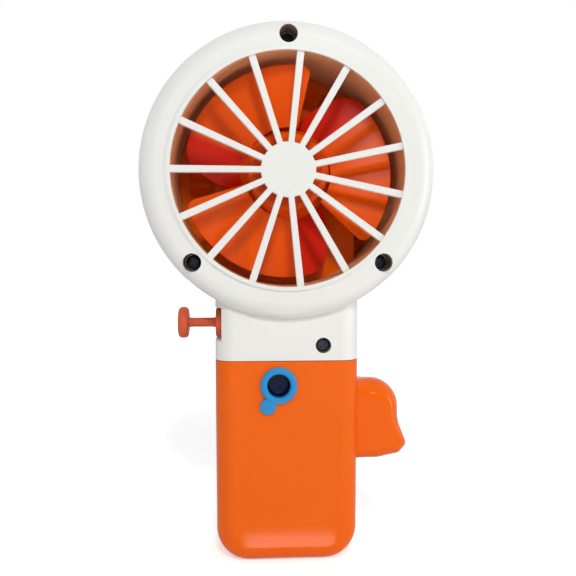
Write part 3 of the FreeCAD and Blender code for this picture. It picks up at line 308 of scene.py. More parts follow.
def painted_blade_shade_mask(tree):
    """Painted shade on the trailing third of each blade, picked by its angle about the fan's axis."""
    first_blade, shade_start, shade_full = 43.0, 77.0, 83.0
    across, upward = from_axis(tree, 0.0, AXIS_HEIGHT)
    turn = maths(tree, "ARCTAN2", upward, across)
    degrees = maths(tree, "MULTIPLY_ADD", turn, 180 / math.pi, first_blade + BLADES * BLADE_SPACING)
    swept = maths(tree, "MODULO", degrees, BLADE_SPACING)
    blade = soft_step(tree, swept, shade_start, shade_full)
    outside_hub = soft_step(tree, reach(tree, across, upward), mm(15.4), mm(16.4))
    return maths(tree, "MULTIPLY", blade, outside_hub)


def painted_well_shade_mask(tree):
    """Painted shade in the bottom and wall of the filler plug's cup."""
    return soft_step(tree, reach(tree, *from_axis(tree, PLUG_X, PLUG_Z)), mm(4.1), mm(3.7))


MATERIALS = {}


def make_materials(colours):
    moulded, turned_steel = moulded_group(), brushed_group()

    def plastic(name, tone, roughness, grain=0.15, drift=0.05, **more):
        values = {"Colour": tone, "Tint drift": drift, "Roughness": roughness, "Grain": grain}
        MATERIALS[name] = finish_material(name, moulded, values, **more)

    plastic("white_plastic", colours.white, 0.34)
    plastic("orange_plastic", colours.orange, 0.16, specular=0.2, drift=0.03)
    # The rotor's blades carry painted shade on their trailing third.
    plastic("rotor_orange", colours.rotor, 0.30, specular=0.2, shade=(painted_blade_shade_mask, colours.trailing))
    plastic("terracotta_plastic", colours.terracotta, 0.36, specular=0.35)
    # The blue rubber carries painted shade in its cup.
    plastic("blue_rubber", colours.blue, 0.34, grain=0.3, specular=0.25, shade=(painted_well_shade_mask, colours.well))
    # Painted shade and painted orange bounce light for the duct's inside wall.
    plastic("duct_wall", colours.duct, 0.5)
    plastic("seam_shade", colours.seam, 0.5, specular=0.2)
    plastic("bore_shade", colours.bore, 0.6, specular=0.2)
    plastic("gear_plastic", colours.gear, 0.45)
    plastic("clear_tube", colours.tube, 0.2, grain=0.05)
    plastic("black_rubber", colours.black, 0.6, grain=0.5)
    for name, tone, roughness, metallic in (("screw_finish", colours.screw, 0.25, 0.8),
                                            ("steel", colours.steel, 0.18, 1.0)):
        MATERIALS[name] = finish_material(name, turned_steel, {"Colour": tone, "Roughness": roughness},
                                          metallic=metallic, bump=mm(0.004))


def paint(item, material):
    item.data.materials.clear()
    item.data.materials.append(MATERIALS[material])


def dress_nodes(*names):
    """Give CAD nodes the finish that the record names."""
    slots = {row["node"]: row["material_slot"] for row in frame["record"]["subparts"]}
    for name in names:
        paint(frame["nodes"][name], slots[name])


# Mesh helpers

def even_normals(item, crease):
    """Smooth shading that keeps flat faces flat and edges past the crease angle crisp."""
    item.data.shade_smooth()
    item.data.set_sharp_from_angle(angle=math.radians(crease))
    even = item.modifiers.new("even", "WEIGHTED_NORMAL")
    even.keep_sharp = True
    even.weight = 80
    shaded = bpy.data.meshes.new_from_object(item.evaluated_get(bpy.context.evaluated_depsgraph_get()))
    item.modifiers.remove(even)
    item.data = shaded


def show(name, mesh, body, material, replaced=(), crease=35, plain=False):
    """A finished mesh that rides on a body and may stand for CAD nodes."""
    item = bpy.data.objects.new(name, mesh)
    bpy.context.scene.collection.objects.link(item)
    if not plain:
        even_normals(item, crease)
    paint(item, material)
    if replaced:
        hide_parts(*replaced)
    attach(item, body)
    return item


def settle(name, form):
    """A bmesh as a mesh of its own."""
    mesh = bpy.data.meshes.new(name)
    form.to_mesh(mesh)
    form.free()
    return mesh


def cad_form(name, merged=True):
    """A copy of a CAD node's mesh; merged joins the corners that meet."""
    form = bmesh.new()
    form.from_mesh(frame["nodes"][name].data)
    if merged:
        bmesh.ops.remove_doubles(form, verts=form.verts, dist=CAD_JOIN)
    return form


def whole_faces(form, flat):
    """Make the flat faces whole between the edges that flat picks."""
    edges = [edge for edge in form.edges if flat(edge)]
    points = list({end for edge in edges for end in edge.verts})
    bmesh.ops.dissolve_limit(form, angle_limit=0.004, verts=points, edges=edges)


def head_screw_places():
    """X and Z of each head screw."""
    turns = [math.radians(degrees) for degrees in HEAD_SCREW_ANGLES]
    return [(HEAD_SCREW_CIRCLE * math.cos(turn), AXIS_HEIGHT + HEAD_SCREW_CIRCLE * math.sin(turn))
            for turn in turns]


def neck_screw_place():
    low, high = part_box("neck_screw")
    return (low.x + high.x) / 2, (low.z + high.z) / 2


def drop_faces(form, unwanted):
    bmesh.ops.delete(form, geom=[face for face in form.faces if unwanted(face)], context="FACES")


def from_fan_axis(point):
    return math.hypot(point.x, point.z - AXIS_HEIGHT)


def sharp_edges(form, wanted):
    chosen = []
    for edge in form.edges:
        if len(edge.link_faces) == 2 and edge.calc_face_angle(0.0) > 0.75 and wanted(edge):
            chosen.append(edge)
    return chosen


def soften(form, edges, radius, segments=3):
    bmesh.ops.bevel(form, geom=edges, offset=radius, segments=segments, profile=0.5, affect="EDGES",
                    clamp_overlap=True)


def close_up(form):
    """Join the points that meet and turn every face outwards."""
    bmesh.ops.remove_doubles(form, verts=form.verts, dist=JOIN)
    bmesh.ops.recalc_face_normals(form, faces=form.faces)


def skin(form, rings, looped):
    """Four-sided faces between closed rings of points, and from the last ring to the first if looped."""
    following = rings[1:] + rings[:1] if looped else rings[1:]
    for first, second in zip(rings, following):
        for step in range(len(first)):
            after = (step + 1) % len(first)
            form.faces.new((first[step], first[after], second[after], second[step]))


def turned(profile, x, z, sides=96):
    """A turned form about a line along Y, from radius and Y pairs."""
    form = bmesh.new()
    rings = []
    for radius, depth in profile:
        if radius < JOIN:
            rings.append([form.verts.new((x, depth, z))])
            continue
        ring = []
        for step in range(sides):
            turn = 2 * math.pi * step / sides
            ring.append(form.verts.new((x + radius * math.cos(turn), depth, z + radius * math.sin(turn))))
        rings.append(ring)
    for first, second in zip(rings, rings[1:]):
        for step in range(sides):
            after = (step + 1) % sides
            if len(first) == 1:
                form.faces.new((first[0], second[after], second[step]))
            elif len(second) == 1:
                form.faces.new((first[step], first[after], second[0]))
            else:
                form.faces.new((first[step], first[after], second[after], second[step]))
    return form


def rounded(corners, radius, steps=4):
    """Radius and depth pairs with each inner corner rounded."""
    path = [corners[0]]
    for before, corner, after in zip(corners, corners[1:], corners[2:]):
        here, back, on = Vector(corner), Vector(before), Vector(after)
        limit = min(radius, (back - here).length * 0.45, (on - here).length * 0.45)
        start, end = here + (back - here).normalized() * limit, here + (on - here).normalized() * limit
        for step in range(steps + 1):
            share = step / steps
            point = start * (1 - share) ** 2 + here * (2 * share * (1 - share)) + end * share ** 2
            path.append((point.x, point.y))
    path.append(corners[-1])
    return path


def tube_wall(radius, start, end, x, z, sides, thin=mm(0.05)):
    """A thin sleeve about a line along Y."""
    inner = radius - thin
    section = [(radius, start), (inner, start), (inner, end), (radius, end), (radius, start)]
    form = turned(section, x, z, sides)
    close_up(form)
    return form


def gathered(forms):
    """Several closed forms as one."""
    whole = bmesh.new()
    for form in forms:
        part = settle("part", form)
        whole.from_mesh(part)
        bpy.data.meshes.remove(part)
    return whole


def rounded_loop(half_x, half_y, corner, low, high, thick, steps=10):
    """A band that follows a rounded rectangle, between two heights."""
    path = []
    for sign_x, sign_y, start in ((1, 1, 0), (-1, 1, 90), (-1, -1, 180), (1, -1, 270)):
        middle_x, middle_y = sign_x * (half_x - corner), sign_y * (half_y - corner)
        for step in range(steps + 1):
            turn = math.radians(start + 90 * step / steps)
            path.append((middle_x, middle_y, math.cos(turn), math.sin(turn)))
    form = bmesh.new()
    rings = []
    for out, height in ((corner, low), (corner - thick, low), (corner - thick, high), (corner, high)):
        rings.append([form.verts.new((x + out * across, y + out * along, height))
                      for x, y, across, along in path])
    skin(form, rings, looped=True)
    bmesh.ops.recalc_face_normals(form, faces=form.faces)
    return form


# Plug, plunger and springs

PLUG_RIM, PLUG_NECK, CUP_RADIUS = mm(6.3), mm(4.9), mm(3.72)
PLUG_FACE, PLUG_SEAT, PLUG_BACK, CUP_FLOOR = mm(-15.45), mm(-14.04), mm(-9.2), mm(-10.4)
TAB_ASIDE, TAB_DROP, TAB_RADIUS, TAB_FACE = mm(3.7), mm(7.1), mm(2.7), mm(-15.1)
STRAP_FACE, STRAP_LENGTH = mm(-15.0), mm(3.4)
CAP_THICK, CAP_RADIUS = mm(3.7), mm(5.5)
ROD_RADIUS, WAIST_RADIUS, GROOVE_RADIUS, PISTON_RADIUS = mm(1.75), mm(1.65), mm(2.1), mm(2.95)
WAIST_END, ROD_START = mm(-26.2), mm(-25.1)
PISTON_START, GROOVE_START, GROOVE_END = mm(-18.8), mm(-18.1), mm(-16.9)


def strap_form(x, z):
    """The short strap from the pull tab's middle towards the plug's ring."""
    along = Vector((PLUG_X - x, 0, PLUG_Z - z)).normalized()
    across = Vector((along.z, 0, -along.x))
    form = bmesh.new()
    corners = []
    for step, half in ((0.0, mm(1.9)), (STRAP_LENGTH, mm(2.0))):
        for side in (-half, half):
            place = Vector((x, 0, z)) + along * step + across * side
            corners.append([form.verts.new((place.x, depth, place.z)) for depth in (STRAP_FACE, PLUG_SEAT)])
    order = (corners[0], corners[1], corners[3], corners[2])
    for first, second in zip(order, order[1:] + order[:1]):
        form.faces.new((first[0], second[0], second[1], first[1]))
    form.faces.new([pair[0] for pair in order])
    form.faces.new([pair[1] for pair in reversed(order)])
    close_up(form)
    soften(form, [edge for edge in form.edges if all(end.co.y < STRAP_FACE + mm(0.1) for end in edge.verts)],
           mm(0.3))
    return form


def plug_form():
    """The plug's soft ring with its deep cup, and the pull tab on its short strap."""
    bead = [(0.0, CUP_FLOOR), (mm(3.5), CUP_FLOOR), (CUP_RADIUS, mm(-14.3)), (mm(4.35), PLUG_FACE),
            (mm(5.55), PLUG_FACE), (PLUG_RIM, mm(-14.9)), (PLUG_RIM, PLUG_SEAT), (PLUG_NECK, PLUG_SEAT),
            (mm(4.6), PLUG_BACK), (0.0, PLUG_BACK)]
    ring = turned(rounded(bead, mm(0.75), 5), PLUG_X, PLUG_Z)
    tab_x, tab_z = PLUG_X - TAB_ASIDE, PLUG_Z - TAB_DROP
    button = [(0.0, TAB_FACE), (TAB_RADIUS, TAB_FACE), (TAB_RADIUS, PLUG_SEAT), (0.0, PLUG_SEAT)]
    tab = turned(rounded(button, mm(0.35), 4), tab_x, tab_z, 48)
    for form in (ring, tab):
        close_up(form)
    return gathered((ring, tab, strap_form(tab_x, tab_z)))


def plunger_form():
    """The push button, its waisted stem and the piston behind, turned about a line along X."""
    low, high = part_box("plunger")
    y, z = (low.y + high.y) / 2, (low.z + high.z) / 2
    face = low.x + CAP_THICK
    cap = [(low.x, 0.0), (low.x, CAP_RADIUS), (face, CAP_RADIUS), (face, ROD_RADIUS)]
    rod = [(face, ROD_RADIUS), (face + mm(1.2), WAIST_RADIUS), (WAIST_END, WAIST_RADIUS),
           (ROD_START, ROD_RADIUS), (PISTON_START, ROD_RADIUS), (PISTON_START, PISTON_RADIUS),
           (GROOVE_START, PISTON_RADIUS), (GROOVE_START, GROOVE_RADIUS), (GROOVE_END, GROOVE_RADIUS),
           (GROOVE_END, PISTON_RADIUS), (high.x, PISTON_RADIUS), (high.x, 0.0)]
    profile = rounded(cap, mm(1.75), 8)[:-1] + rounded(rod, mm(0.2), 3)
    form = turned([(radius, along) for along, radius in profile], 0.0, 0.0, 64)
    for point in form.verts:
        x, along, up = point.co
        point.co = (along, y + x, z + up)
    close_up(form)
    return form


def coil_spring(name):
    """A spring from the CAD as a smooth steel copy with a mesh of its own, riding on the housing."""
    item = show(name + "_coil", settle(name, cad_form(name)), "housing", "steel", (name,), crease=60)
    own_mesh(item)


# Trigger

GRIP_BACK = mm(23.6)
GRIP_TOP, GRIP_FOOT = mm(61.9), mm(33.8)
GRIP_HALF = mm(7.5)
FRAME_CUT = mm(23.8)
# Each corner of the grip's side outline, and the radius that rounds it
GRIP_CORNERS = (((mm(40.2), GRIP_TOP), mm(9.5)), ((mm(40.2), mm(46.9)), mm(14.0)),
                ((mm(43.2), mm(38.7)), mm(2.2)), ((mm(40.4), mm(35.4)), mm(2.0)),
                ((mm(32.7), GRIP_FOOT), mm(9.0)))
# Places of the slices through the grip, from one flank to the other
GRIP_SLICES = (-1.0, -0.97, -0.9, -0.78, -0.62, -0.42, -0.2, 0.0, 0.2, 0.42, 0.62, 0.78, 0.9, 0.97, 1.0)
FLANK_AT_FRAME, FLANK_AT_FOOT, FLANK_GAIN = mm(3.0), mm(4.0), mm(2.6)
BONE_END, BONE_DEPTH = mm(32.0), mm(14.05)


def arc_points(before, corner, after, radius, steps=10):
    """Points on the round that joins two straight runs."""
    here = Vector(corner)
    back, on = (Vector(before) - here).normalized(), (Vector(after) - here).normalized()
    half = back.angle(on) / 2
    start, end = here + back * (radius / math.tan(half)), here + on * (radius / math.tan(half))
    middle = here + (back + on).normalized() * (radius / math.sin(half))
    first = math.atan2(start.y - middle.y, start.x - middle.x)
    sweep = math.atan2(end.y - middle.y, end.x - middle.x) - first
    sweep = (sweep + math.pi) % (2 * math.pi) - math.pi
    points = []
    for step in range(steps + 1):
        turn = first + sweep * step / steps
        points.append((middle.x + radius * math.cos(turn), middle.y + radius * math.sin(turn)))
    return points


def grip_outline():
    """The grip's side outline, as X and Z pairs from its top back corner round to the foot."""
    corners = [((GRIP_BACK, GRIP_TOP), 0.0), *GRIP_CORNERS, ((GRIP_BACK, GRIP_FOOT), 0.0)]
    path = [(GRIP_BACK + mm(1.4) * step, GRIP_TOP) for step in range(6)]
    for (before, _), (corner, radius), (after, _) in zip(corners, corners[1:], corners[2:]):
        path += arc_points(before, corner, after, radius)
    path += [(GRIP_BACK + mm(1.3) * step, GRIP_FOOT) for step in range(5, -1, -1)]
    return path


def ramp(value, start, length):
    return min(1.0, max(0.0, (value - start) / length))


def flank_round(x, z):
    """Radius of the rounding between side and flank: tight at the frame, fuller towards the top."""
    full = FLANK_AT_FOOT + FLANK_GAIN * ramp(z, mm(40.0), mm(12.0))
    return FLANK_AT_FRAME + (full - FLANK_AT_FRAME) * ramp(x, mm(24.4), mm(4.0))


def grip_form():
    """The finger grip: its side outline drawn in towards a bone inside it as the flanks round over."""
    middle = (GRIP_TOP + GRIP_FOOT) / 2
    form = bmesh.new()
    rings = []
    for share in GRIP_SLICES:
        depth = GRIP_HALF * math.copysign(math.sin(abs(share) * math.pi / 2), share)
        ring = []
        for x, z in grip_outline():
            flank = flank_round(x, z)
            over = max(0.0, abs(depth) - (GRIP_HALF - flank)) / flank
            inset = flank * (1 - math.sqrt(max(0.0, 1 - over * over)))
            bone = Vector((min(x, BONE_END), middle))
            place = bone + (Vector((x, z)) - bone) * (1 - inset / BONE_DEPTH)
            ring.append(form.verts.new((place.x, depth, place.y)))
        rings.append(ring)
    skin(form, rings, looped=False)
    form.faces.new(rings[0])
    form.faces.new(list(reversed(rings[-1])))
    close_up(form)
    return form


def squeeze_trigger():
    """The sliding frame and rack from the CAD, with a fuller grip in front of them."""
    inner = cad_form("trigger")
    bmesh.ops.bisect_plane(inner, geom=[*inner.verts, *inner.edges, *inner.faces],
                           plane_co=(FRAME_CUT, 0, 0), plane_no=(1, 0, 0), clear_outer=True)
    bmesh.ops.holes_fill(inner, edges=[edge for edge in inner.edges if edge.is_boundary])
    for name, form, crease in (("trigger_frame", inner, 35), ("trigger_grip", grip_form(), 60)):
        show(name, settle(name, form), "trigger", "orange_plastic", ("trigger",), crease)


# Screws by Geometry Nodes

def cylinder(tree, sides, radius, depth):
    item = node(tree, "GeometryNodeMeshCylinder")
    item.inputs["Vertices"].default_value = sides
    tree.links.new(radius, item.inputs["Radius"])
    tree.links.new(depth, item.inputs["Depth"])
    return item


def raised(tree, geometry, height):
    item = node(tree, "GeometryNodeTransform")
    tree.links.new(geometry, item.inputs["Geometry"])
    tree.links.new(vector(tree, Z=height), item.inputs["Translation"])
    return item.outputs[0]


def screw_head(tree, given):
    """A crowned pan head about the origin, with a cross cut into its top."""
    head = cylinder(tree, 40, given["Head radius"], given["Head height"])
    head.inputs["Side Segments"].default_value = 8
    head.inputs["Fill Segments"].default_value = 2
    place = node(tree, "GeometryNodeInputPosition")
    parts = node(tree, "ShaderNodeSeparateXYZ")
    tree.links.new(place.outputs[0], parts.inputs[0])
    level = maths(tree, "ADD", maths(tree, "DIVIDE", parts.outputs["Z"], given["Head height"]), 0.5)
    crown = node(tree, "ShaderNodeFloatCurve")
    curve = crown.mapping.curves[0]
    curve.points[0].location = (0.0, 1.0)
    curve.points[1].location = (1.0, 0.72)
    curve.points.new(0.45, 1.0)
    curve.points.new(0.8, 0.93)
    crown.mapping.update()
    tree.links.new(level, crown.inputs["Value"])
    across = {axis: maths(tree, "MULTIPLY", parts.outputs[axis], crown.outputs[0]) for axis in "XY"}
    shaped = node(tree, "GeometryNodeSetPosition")
    tree.links.new(head.outputs["Mesh"], shaped.inputs["Geometry"])
    tree.links.new(vector(tree, Z=parts.outputs["Z"], **across), shaped.inputs["Position"])
    recess = node(tree, "GeometryNodeMeshBoolean", operation="DIFFERENCE", solver="EXACT")
    tree.links.new(shaped.outputs[0], recess.inputs["Mesh 1"])
    for narrow, wide in ("XY", "YX"):
        size = {narrow: given["Cross width"], wide: maths(tree, "MULTIPLY", given["Head radius"], 1.15),
                "Z": maths(tree, "MULTIPLY", given["Cross depth"], 2.0)}
        arm = node(tree, "GeometryNodeMeshCube")
        tree.links.new(vector(tree, **size), arm.inputs["Size"])
        top = raised(tree, arm.outputs["Mesh"], maths(tree, "MULTIPLY", given["Head height"], 0.5))
        tree.links.new(top, recess.inputs["Mesh 2"])
    return recess.outputs["Mesh"]


def screw_tree():
    """Pan head screws with a cross recess, one at each point, heads towards the rear."""
    tree = bpy.data.node_groups.new("pan_head_screws", "GeometryNodeTree")
    socket(tree, "Geometry", "NodeSocketGeometry")
    for name in ("Head radius", "Head height", "Shank radius", "Shank length", "Cross width", "Cross depth"):
        socket(tree, name, "NodeSocketFloat", 0.001)
    socket(tree, "Seed", "NodeSocketInt", 3)
    socket(tree, "Finish", "NodeSocketMaterial")
    socket(tree, "Geometry", "NodeSocketGeometry", output=True)
    link = tree.links.new
    given = node(tree, "NodeGroupInput").outputs
    shank = cylinder(tree, 24, given["Shank radius"], given["Shank length"])
    both = maths(tree, "ADD", given["Shank length"], given["Head height"])
    joined = node(tree, "GeometryNodeJoinGeometry")
    link(raised(tree, shank.outputs["Mesh"], maths(tree, "MULTIPLY", both, -0.5)), joined.inputs[0])
    link(screw_head(tree, given), joined.inputs[0])
    seated = raised(tree, joined.outputs[0], maths(tree, "MULTIPLY", given["Head height"], 0.5))
    spin = node(tree, "FunctionNodeRandomValue", data_type="FLOAT")
    spin.inputs[3].default_value = 2 * math.pi
    link(given["Seed"], spin.inputs["Seed"])
    scatter = node(tree, "GeometryNodeInstanceOnPoints")
    link(given["Geometry"], scatter.inputs["Points"])
    link(seated, scatter.inputs["Instance"])
    link(vector(tree, X=math.pi / 2, Y=spin.outputs[1]), scatter.inputs["Rotation"])
    real = node(tree, "GeometryNodeRealizeInstances")
    finish = node(tree, "GeometryNodeSetMaterial")
    link(scatter.outputs[0], real.inputs[0])
    link(real.outputs[0], finish.inputs["Geometry"])
    link(given["Finish"], finish.inputs["Material"])
    link(finish.outputs[0], node(tree, "NodeGroupOutput").inputs["Geometry"])
    return tree


def grown(name, points, tree, values):
    """The plain mesh that a Geometry Nodes tree makes on these points."""
    seeds = bpy.data.meshes.new(name + "_points")
    seeds.from_pydata(points, [], [])
    item = bpy.data.objects.new(name + "_points", seeds)
    bpy.context.scene.collection.objects.link(item)
    modifier = item.modifiers.new("grow", "NODES")
    modifier.node_group = tree
    for entry in tree.interface.items_tree:
        if entry.item_type == "SOCKET" and entry.in_out == "INPUT" and entry.name in values:
            modifier[entry.identifier] = values[entry.name]
    graph = bpy.context.evaluated_depsgraph_get()
    mesh = bpy.data.meshes.new_from_object(item.evaluated_get(graph))
    mesh.name = name
    item.modifiers.remove(modifier)
    bpy.data.objects.remove(item)
    return mesh


def put_screws(name, points, tree, sizes, head, tall, long, shank=mm(1.2)):
    """Screws in place of a CAD node: head and tall size their heads, long and shank their shanks."""
    values = {"Head radius": head, "Head height": tall, "Shank radius": shank, "Shank length": long,
              "Cross width": sizes.cross_width, "Cross depth": min(sizes.cross_depth, tall * 0.7), "Seed": 3,
              "Finish": MATERIALS["screw_finish"]}
    show(name + "_turned", grown(name, points, tree, values), "housing", "screw_finish", (name,))


# Head

def grille_and_shell(spoke_round):
    """The grille with softened spokes, and the rest of the rear housing as the CAD has it."""
    grille_back = REAR_FACE + GRILLE_DEPTH + mm(0.6)

    def within(item, radius):
        return all(from_fan_axis(end.co) < radius and end.co.y < grille_back for end in item.verts)

    def on_spoke_end(edge):
        near = min(from_fan_axis(end.co) for end in edge.verts)
        return near < DUCT_RADIUS - mm(8) and within(edge, DUCT_RADIUS + mm(0.2))

    def in_grille(face):
        on_duct = all(from_fan_axis(corner.co) > DUCT_RADIUS - mm(0.05) for corner in face.verts)
        return within(face, DUCT_RADIUS + mm(0.05)) and not on_duct

    grille = cad_form("rear_housing")
    whole_faces(grille, lambda edge: within(edge, DUCT_RADIUS + mm(0.2)))
    rounded_off = sharp_edges(grille, lambda edge: within(edge, DUCT_RADIUS - mm(0.3)) or on_spoke_end(edge))
    soften(grille, rounded_off, spoke_round)
    drop_faces(grille, lambda face: not in_grille(face))
    shell = cad_form("rear_housing", merged=False)
    drop_faces(shell, in_grille)
    for name, form, plain in (("rear_grille", grille, False), ("rear_shell", shell, True)):
        show(name, settle(name, form), "housing", "white_plastic", ("rear_housing",),
             plain=plain)


def painted_duct_and_bore_shade():
    """Thin sheets in the duct and the deep screw bores, coloured as painted shade; the duct's also carries
    painted orange light bounced off the rotor.
    """
    duct_shade_sheet = tube_wall(DUCT_RADIUS - mm(0.03), REAR_FACE + mm(1.0), mm(12.0), 0.0, AXIS_HEIGHT, 192)
    show("painted_duct_shade", settle("painted_duct_shade", duct_shade_sheet), "housing", "duct_wall")
    # Painted shade: thin sheets coloured as the shade inside the screw bores.
    bore_shade_sheets = [tube_wall(HEAD_BORE, REAR_FACE + mm(0.9), HEAD_SEAT, x, z, 40) for x, z in head_screw_places()]
    bore_shade_sheets.append(tube_wall(NECK_BORE, NECK_FACE, NECK_SEAT, *neck_screw_place(), 40))
    show("painted_bore_shade", settle("painted_bore_shade", gathered(bore_shade_sheets)), "housing", "bore_shade")


# Operators

class MISTFAN_OT_materials(bpy.types.Operator):
    """Build the plastics, rubbers and steel"""
    bl_idname = "mistfan.materials"
    bl_label = "Materials"

    def execute(self, context):
        make_materials(context.scene.mistfan_colours)
        return {"FINISHED"}


class MISTFAN_OT_housings(bpy.types.Operator):
    """Finish the head, neck and gearbox shells"""
    bl_idname = "mistfan.housings"
    bl_label = "Housings"

    def execute(self, context):
        dress_nodes("front_housing", "gearbox_cover", "front_grille")
        grille_and_shell(context.scene.mistfan_sizes.spoke_round)
        painted_duct_and_bore_shade()
        return {"FINISHED"}


class MISTFAN_OT_drive(bpy.types.Operator):
    """Finish the trigger, gears, rotor and axles"""
    bl_idname = "mistfan.drive"
    bl_label = "Drive"

    def execute(self, context):
        squeeze_trigger()
        coil_spring("trigger_spring")
        dress_nodes("input_gear", "middle_gear", "fan_pinion", "fan_rotor", "fan_shaft", "gear_axles",
                    "thrust_washer")
        return {"FINISHED"}


class MISTFAN_OT_pump(bpy.types.Operator):
    """Finish the pump, tubes and nozzle"""
    bl_idname = "mistfan.pump"
    bl_label = "Pump"

    def execute(self, context):
        show("plunger_turned", settle("plunger_turned", plunger_form()), "plunger", "terracotta_plastic",
             ("plunger",))
        coil_spring("plunger_spring")
        dress_nodes("piston_seal", "pump_collar", "pump_barrel", "valve_ball", "suction_tube",
                    "delivery_tube", "nozzle")
        return {"FINISHED"}


class MISTFAN_OT_tank(bpy.types.Operator):
    """Finish the tank, its lid and plug"""
    bl_idname = "mistfan.tank"
    bl_label = "Tank"

    def execute(self, context):
        dress_nodes("water_tank", "tank_lid", "tube_grommet")
        show("plug_moulding", settle("plug_moulding", plug_form()), "plug", "blue_rubber",
             ("filler_plug",))
        # Painted shadow: a thin dark band where the joint between tank and neck lies in shade.
        seam = rounded_loop(half_x=mm(24.72), half_y=mm(14.02), corner=mm(6.5), low=mm(69.93), high=mm(70.2),
                            thick=mm(0.12))
        show("painted_joint_shadow", settle("painted_joint_shadow", seam), "housing", "seam_shade")
        return {"FINISHED"}


class MISTFAN_OT_screws(bpy.types.Operator):
    """Finish the screws"""
    bl_idname = "mistfan.screws"
    bl_label = "Screws"

    def execute(self, context):
        sizes = context.scene.mistfan_sizes
        tree = screw_tree()
        neck_x, neck_z = neck_screw_place()
        heads = [(x, HEAD_SEAT, z) for x, z in head_screw_places()]
        covers = [(side * COVER_SCREW_SIDE, COVER_SEAT, AXIS_HEIGHT + COVER_SCREW_RISE) for side in (-1, 1)]
        covers.append((LOW_COVER_SCREW, COVER_SEAT, neck_z + mm(0.5)))
        put_screws("head_screws", heads, tree, sizes, head=mm(2.4), tall=mm(1.6), long=mm(14.0))
        put_screws("neck_screw", [(neck_x, NECK_SEAT, neck_z)], tree, sizes, head=mm(2.35), tall=mm(1.6),
                   long=mm(11.0))
        put_screws("cover_screws", covers, tree, sizes, head=mm(1.8), tall=mm(0.8), long=mm(7.0),
                   shank=mm(0.84))
        return {"FINISHED"}


# Stage

WORLD_LIGHT, WORLD_IN_FRONT = 0.455, 0.12
ROOM_FRONT, ROOM_SIDE = -0.95, -0.1
FLOOR_HALF = 3.0
FLOOR_LIFT, LIFT_START, LIFT_FULL = 0.45, 0.15, 0.6


def backdrop_material(tone):
    """A pale floor that keeps the fan's shadow and comes up white in the picture."""
    item = bpy.data.materials.new("backdrop")
    item.use_nodes = True
    tree = item.node_tree
    shader = tree.nodes["Principled BSDF"]
    shader.inputs["Base Color"].default_value = (*tone, 1.0)
    shader.inputs["Roughness"].default_value = 0.9
    shader.inputs["Specular IOR Level"].default_value = 0.1
    shader.inputs["Emission Color"].default_value = (*tone, 1.0)
    place = object_place(tree)
    far = soft_step(tree, reach(tree, place["X"], place["Y"]), LIFT_START, LIFT_FULL)
    lift = maths(tree, "ADD", maths(tree, "MULTIPLY", far, 1.0 - FLOOR_LIFT), FLOOR_LIFT)
    rays = node(tree, "ShaderNodeLightPath").outputs
    seen = maths(tree, "MAXIMUM", rays["Is Camera Ray"], rays["Is Transmission Ray"])
    tree.links.new(maths(tree, "MULTIPLY", seen, lift), shader.inputs["Emission Strength"])
    return item


def make_floor(tone):
    form = bmesh.new()
    corners = ((-1, -1), (1, -1), (1, 1), (-1, 1))
    form.faces.new([form.verts.new((FLOOR_HALF * x, FLOOR_HALF * y, 0.0)) for x, y in corners])
    floor = bpy.data.objects.new("floor", settle("floor", form))
    bpy.context.scene.collection.objects.link(floor)
    floor.data.materials.append(backdrop_material(tone))


def make_world():
    """White in the picture and in reflections, dimmer in front where the room is, softer as light."""
    world = bpy.data.worlds.new("studio")
    bpy.context.scene.world = world
    world.use_nodes = True
    tree = world.node_tree
    link = tree.links.new
    ground = tree.nodes["Background"]
    ground.inputs["Color"].default_value = (1.0, 1.0, 1.0, 1.0)
    place = node(tree, "ShaderNodeTexCoord")
    parts = node(tree, "ShaderNodeSeparateXYZ")
    link(place.outputs["Generated"], parts.inputs[0])
    room = soft_step(tree, parts.outputs["Y"], ROOM_FRONT, ROOM_SIDE)
    room.node.inputs["To Min"].default_value = WORLD_IN_FRONT
    rays = node(tree, "ShaderNodeLightPath").outputs
    mirrored = maths(tree, "MAXIMUM", rays["Is Glossy Ray"], rays["Is Transmission Ray"])
    strength = WORLD_LIGHT
    for share, bright in ((mirrored, room), (rays["Is Camera Ray"], 1.0)):
        blend = node(tree, "ShaderNodeMix")
        feed(tree, blend.inputs["Factor"], share)
        feed(tree, blend.inputs["A"], strength)
        feed(tree, blend.inputs["B"], bright)
        strength = blend.outputs["Result"]
    link(strength, ground.inputs["Strength"])


def make_lamp(name, place, target, width, height, watts, reflected=True, scattered=True):
    """A rectangular lamp, unseen itself, that may show in gloss and may light rough surfaces."""
    light = bpy.data.lights.new(name, "AREA")
    light.shape = "RECTANGLE"
    light.size = width
    light.size_y = height
    light.energy = watts
    item = bpy.data.objects.new(name, light)
    item.location = place
    item.rotation_euler = (Vector(target) - Vector(place)).to_track_quat("-Z", "Y").to_euler()
    bpy.context.scene.collection.objects.link(item)
    item.visible_camera = False
    item.visible_glossy = reflected
    item.visible_diffuse = scattered


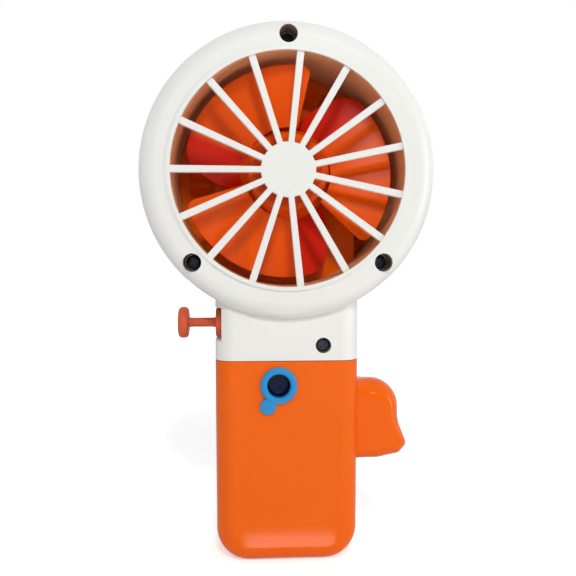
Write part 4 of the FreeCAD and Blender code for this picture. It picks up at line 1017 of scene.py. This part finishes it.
def make_camera(sizes):
    data = bpy.data.cameras.new("camera")
    data.lens = sizes.lens
    data.sensor_width = 36.0
    data.sensor_fit = "HORIZONTAL"
    data.clip_start = 0.01
    item = bpy.data.objects.new("camera", data)
    item.location = (-sizes.camera_side, REAR_FACE - sizes.camera_distance, AXIS_HEIGHT - sizes.camera_drop)
    level = math.cos(sizes.camera_pitch)
    look = Vector((math.sin(sizes.camera_yaw) * level, math.cos(sizes.camera_yaw) * level,
                   -math.sin(sizes.camera_pitch)))
    item.rotation_euler = look.to_track_quat("-Z", "Y").to_euler()
    bpy.context.scene.collection.objects.link(item)
    bpy.context.scene.camera = item


class MISTFAN_OT_stage(bpy.types.Operator):
    """Build the floor, studio light and camera"""
    bl_idname = "mistfan.stage"
    bl_label = "Stage"

    def execute(self, context):
        make_floor(context.scene.mistfan_colours.backdrop)
        make_world()
        middle = (0.0, 0.0, AXIS_HEIGHT * 0.8)
        make_lamp("key", (0.04, -0.95, 0.85), middle, 0.11, 0.11, 4.05, reflected=False)
        make_lamp("softbox", (0.10, -0.80, 0.56), middle, 0.3, 0.08, 1.2)
        make_lamp("strip", (0.60, -0.30, 0.10), middle, 0.014, 0.5, 1.3)
        make_lamp("card", (0.002, -0.030, 0.0006), (0.002, -0.032, 1.0), 0.033, 0.017, 0.010, scattered=False)
        make_camera(context.scene.mistfan_sizes)
        context.scene.view_settings.view_transform = "Standard"
        return {"FINISHED"}


PIECES = (MISTFAN_OT_materials, MISTFAN_OT_housings, MISTFAN_OT_drive, MISTFAN_OT_pump, MISTFAN_OT_tank,
          MISTFAN_OT_screws, MISTFAN_OT_stage)


class MISTFAN_PT_panel(bpy.types.Panel):
    """Lists the fan's pieces"""
    bl_idname = "MISTFAN_PT_panel"
    bl_label = "Mist fan"
    bl_space_type = "VIEW_3D"
    bl_region_type = "UI"
    bl_category = "Mist fan"

    def draw(self, context):
        for piece in PIECES:
            self.layout.operator(piece.bl_idname)


CLASSES = (MistFanColours, MistFanSizes, *PIECES, MISTFAN_PT_panel)


def register():
    for item in CLASSES:
        bpy.utils.register_class(item)
    bpy.types.Scene.mistfan_colours = bpy.props.PointerProperty(type=MistFanColours)
    bpy.types.Scene.mistfan_sizes = bpy.props.PointerProperty(type=MistFanSizes)


def unregister():
    del bpy.types.Scene.mistfan_sizes
    del bpy.types.Scene.mistfan_colours
    for item in reversed(CLASSES):
        bpy.utils.unregister_class(item)


def call(piece):
    group, name = piece.bl_idname.split(".")
    getattr(getattr(bpy.ops, group), name)()


def main():
    register()
    for piece in PIECES:
        call(piece)


if __name__ == "__main__":
    main()
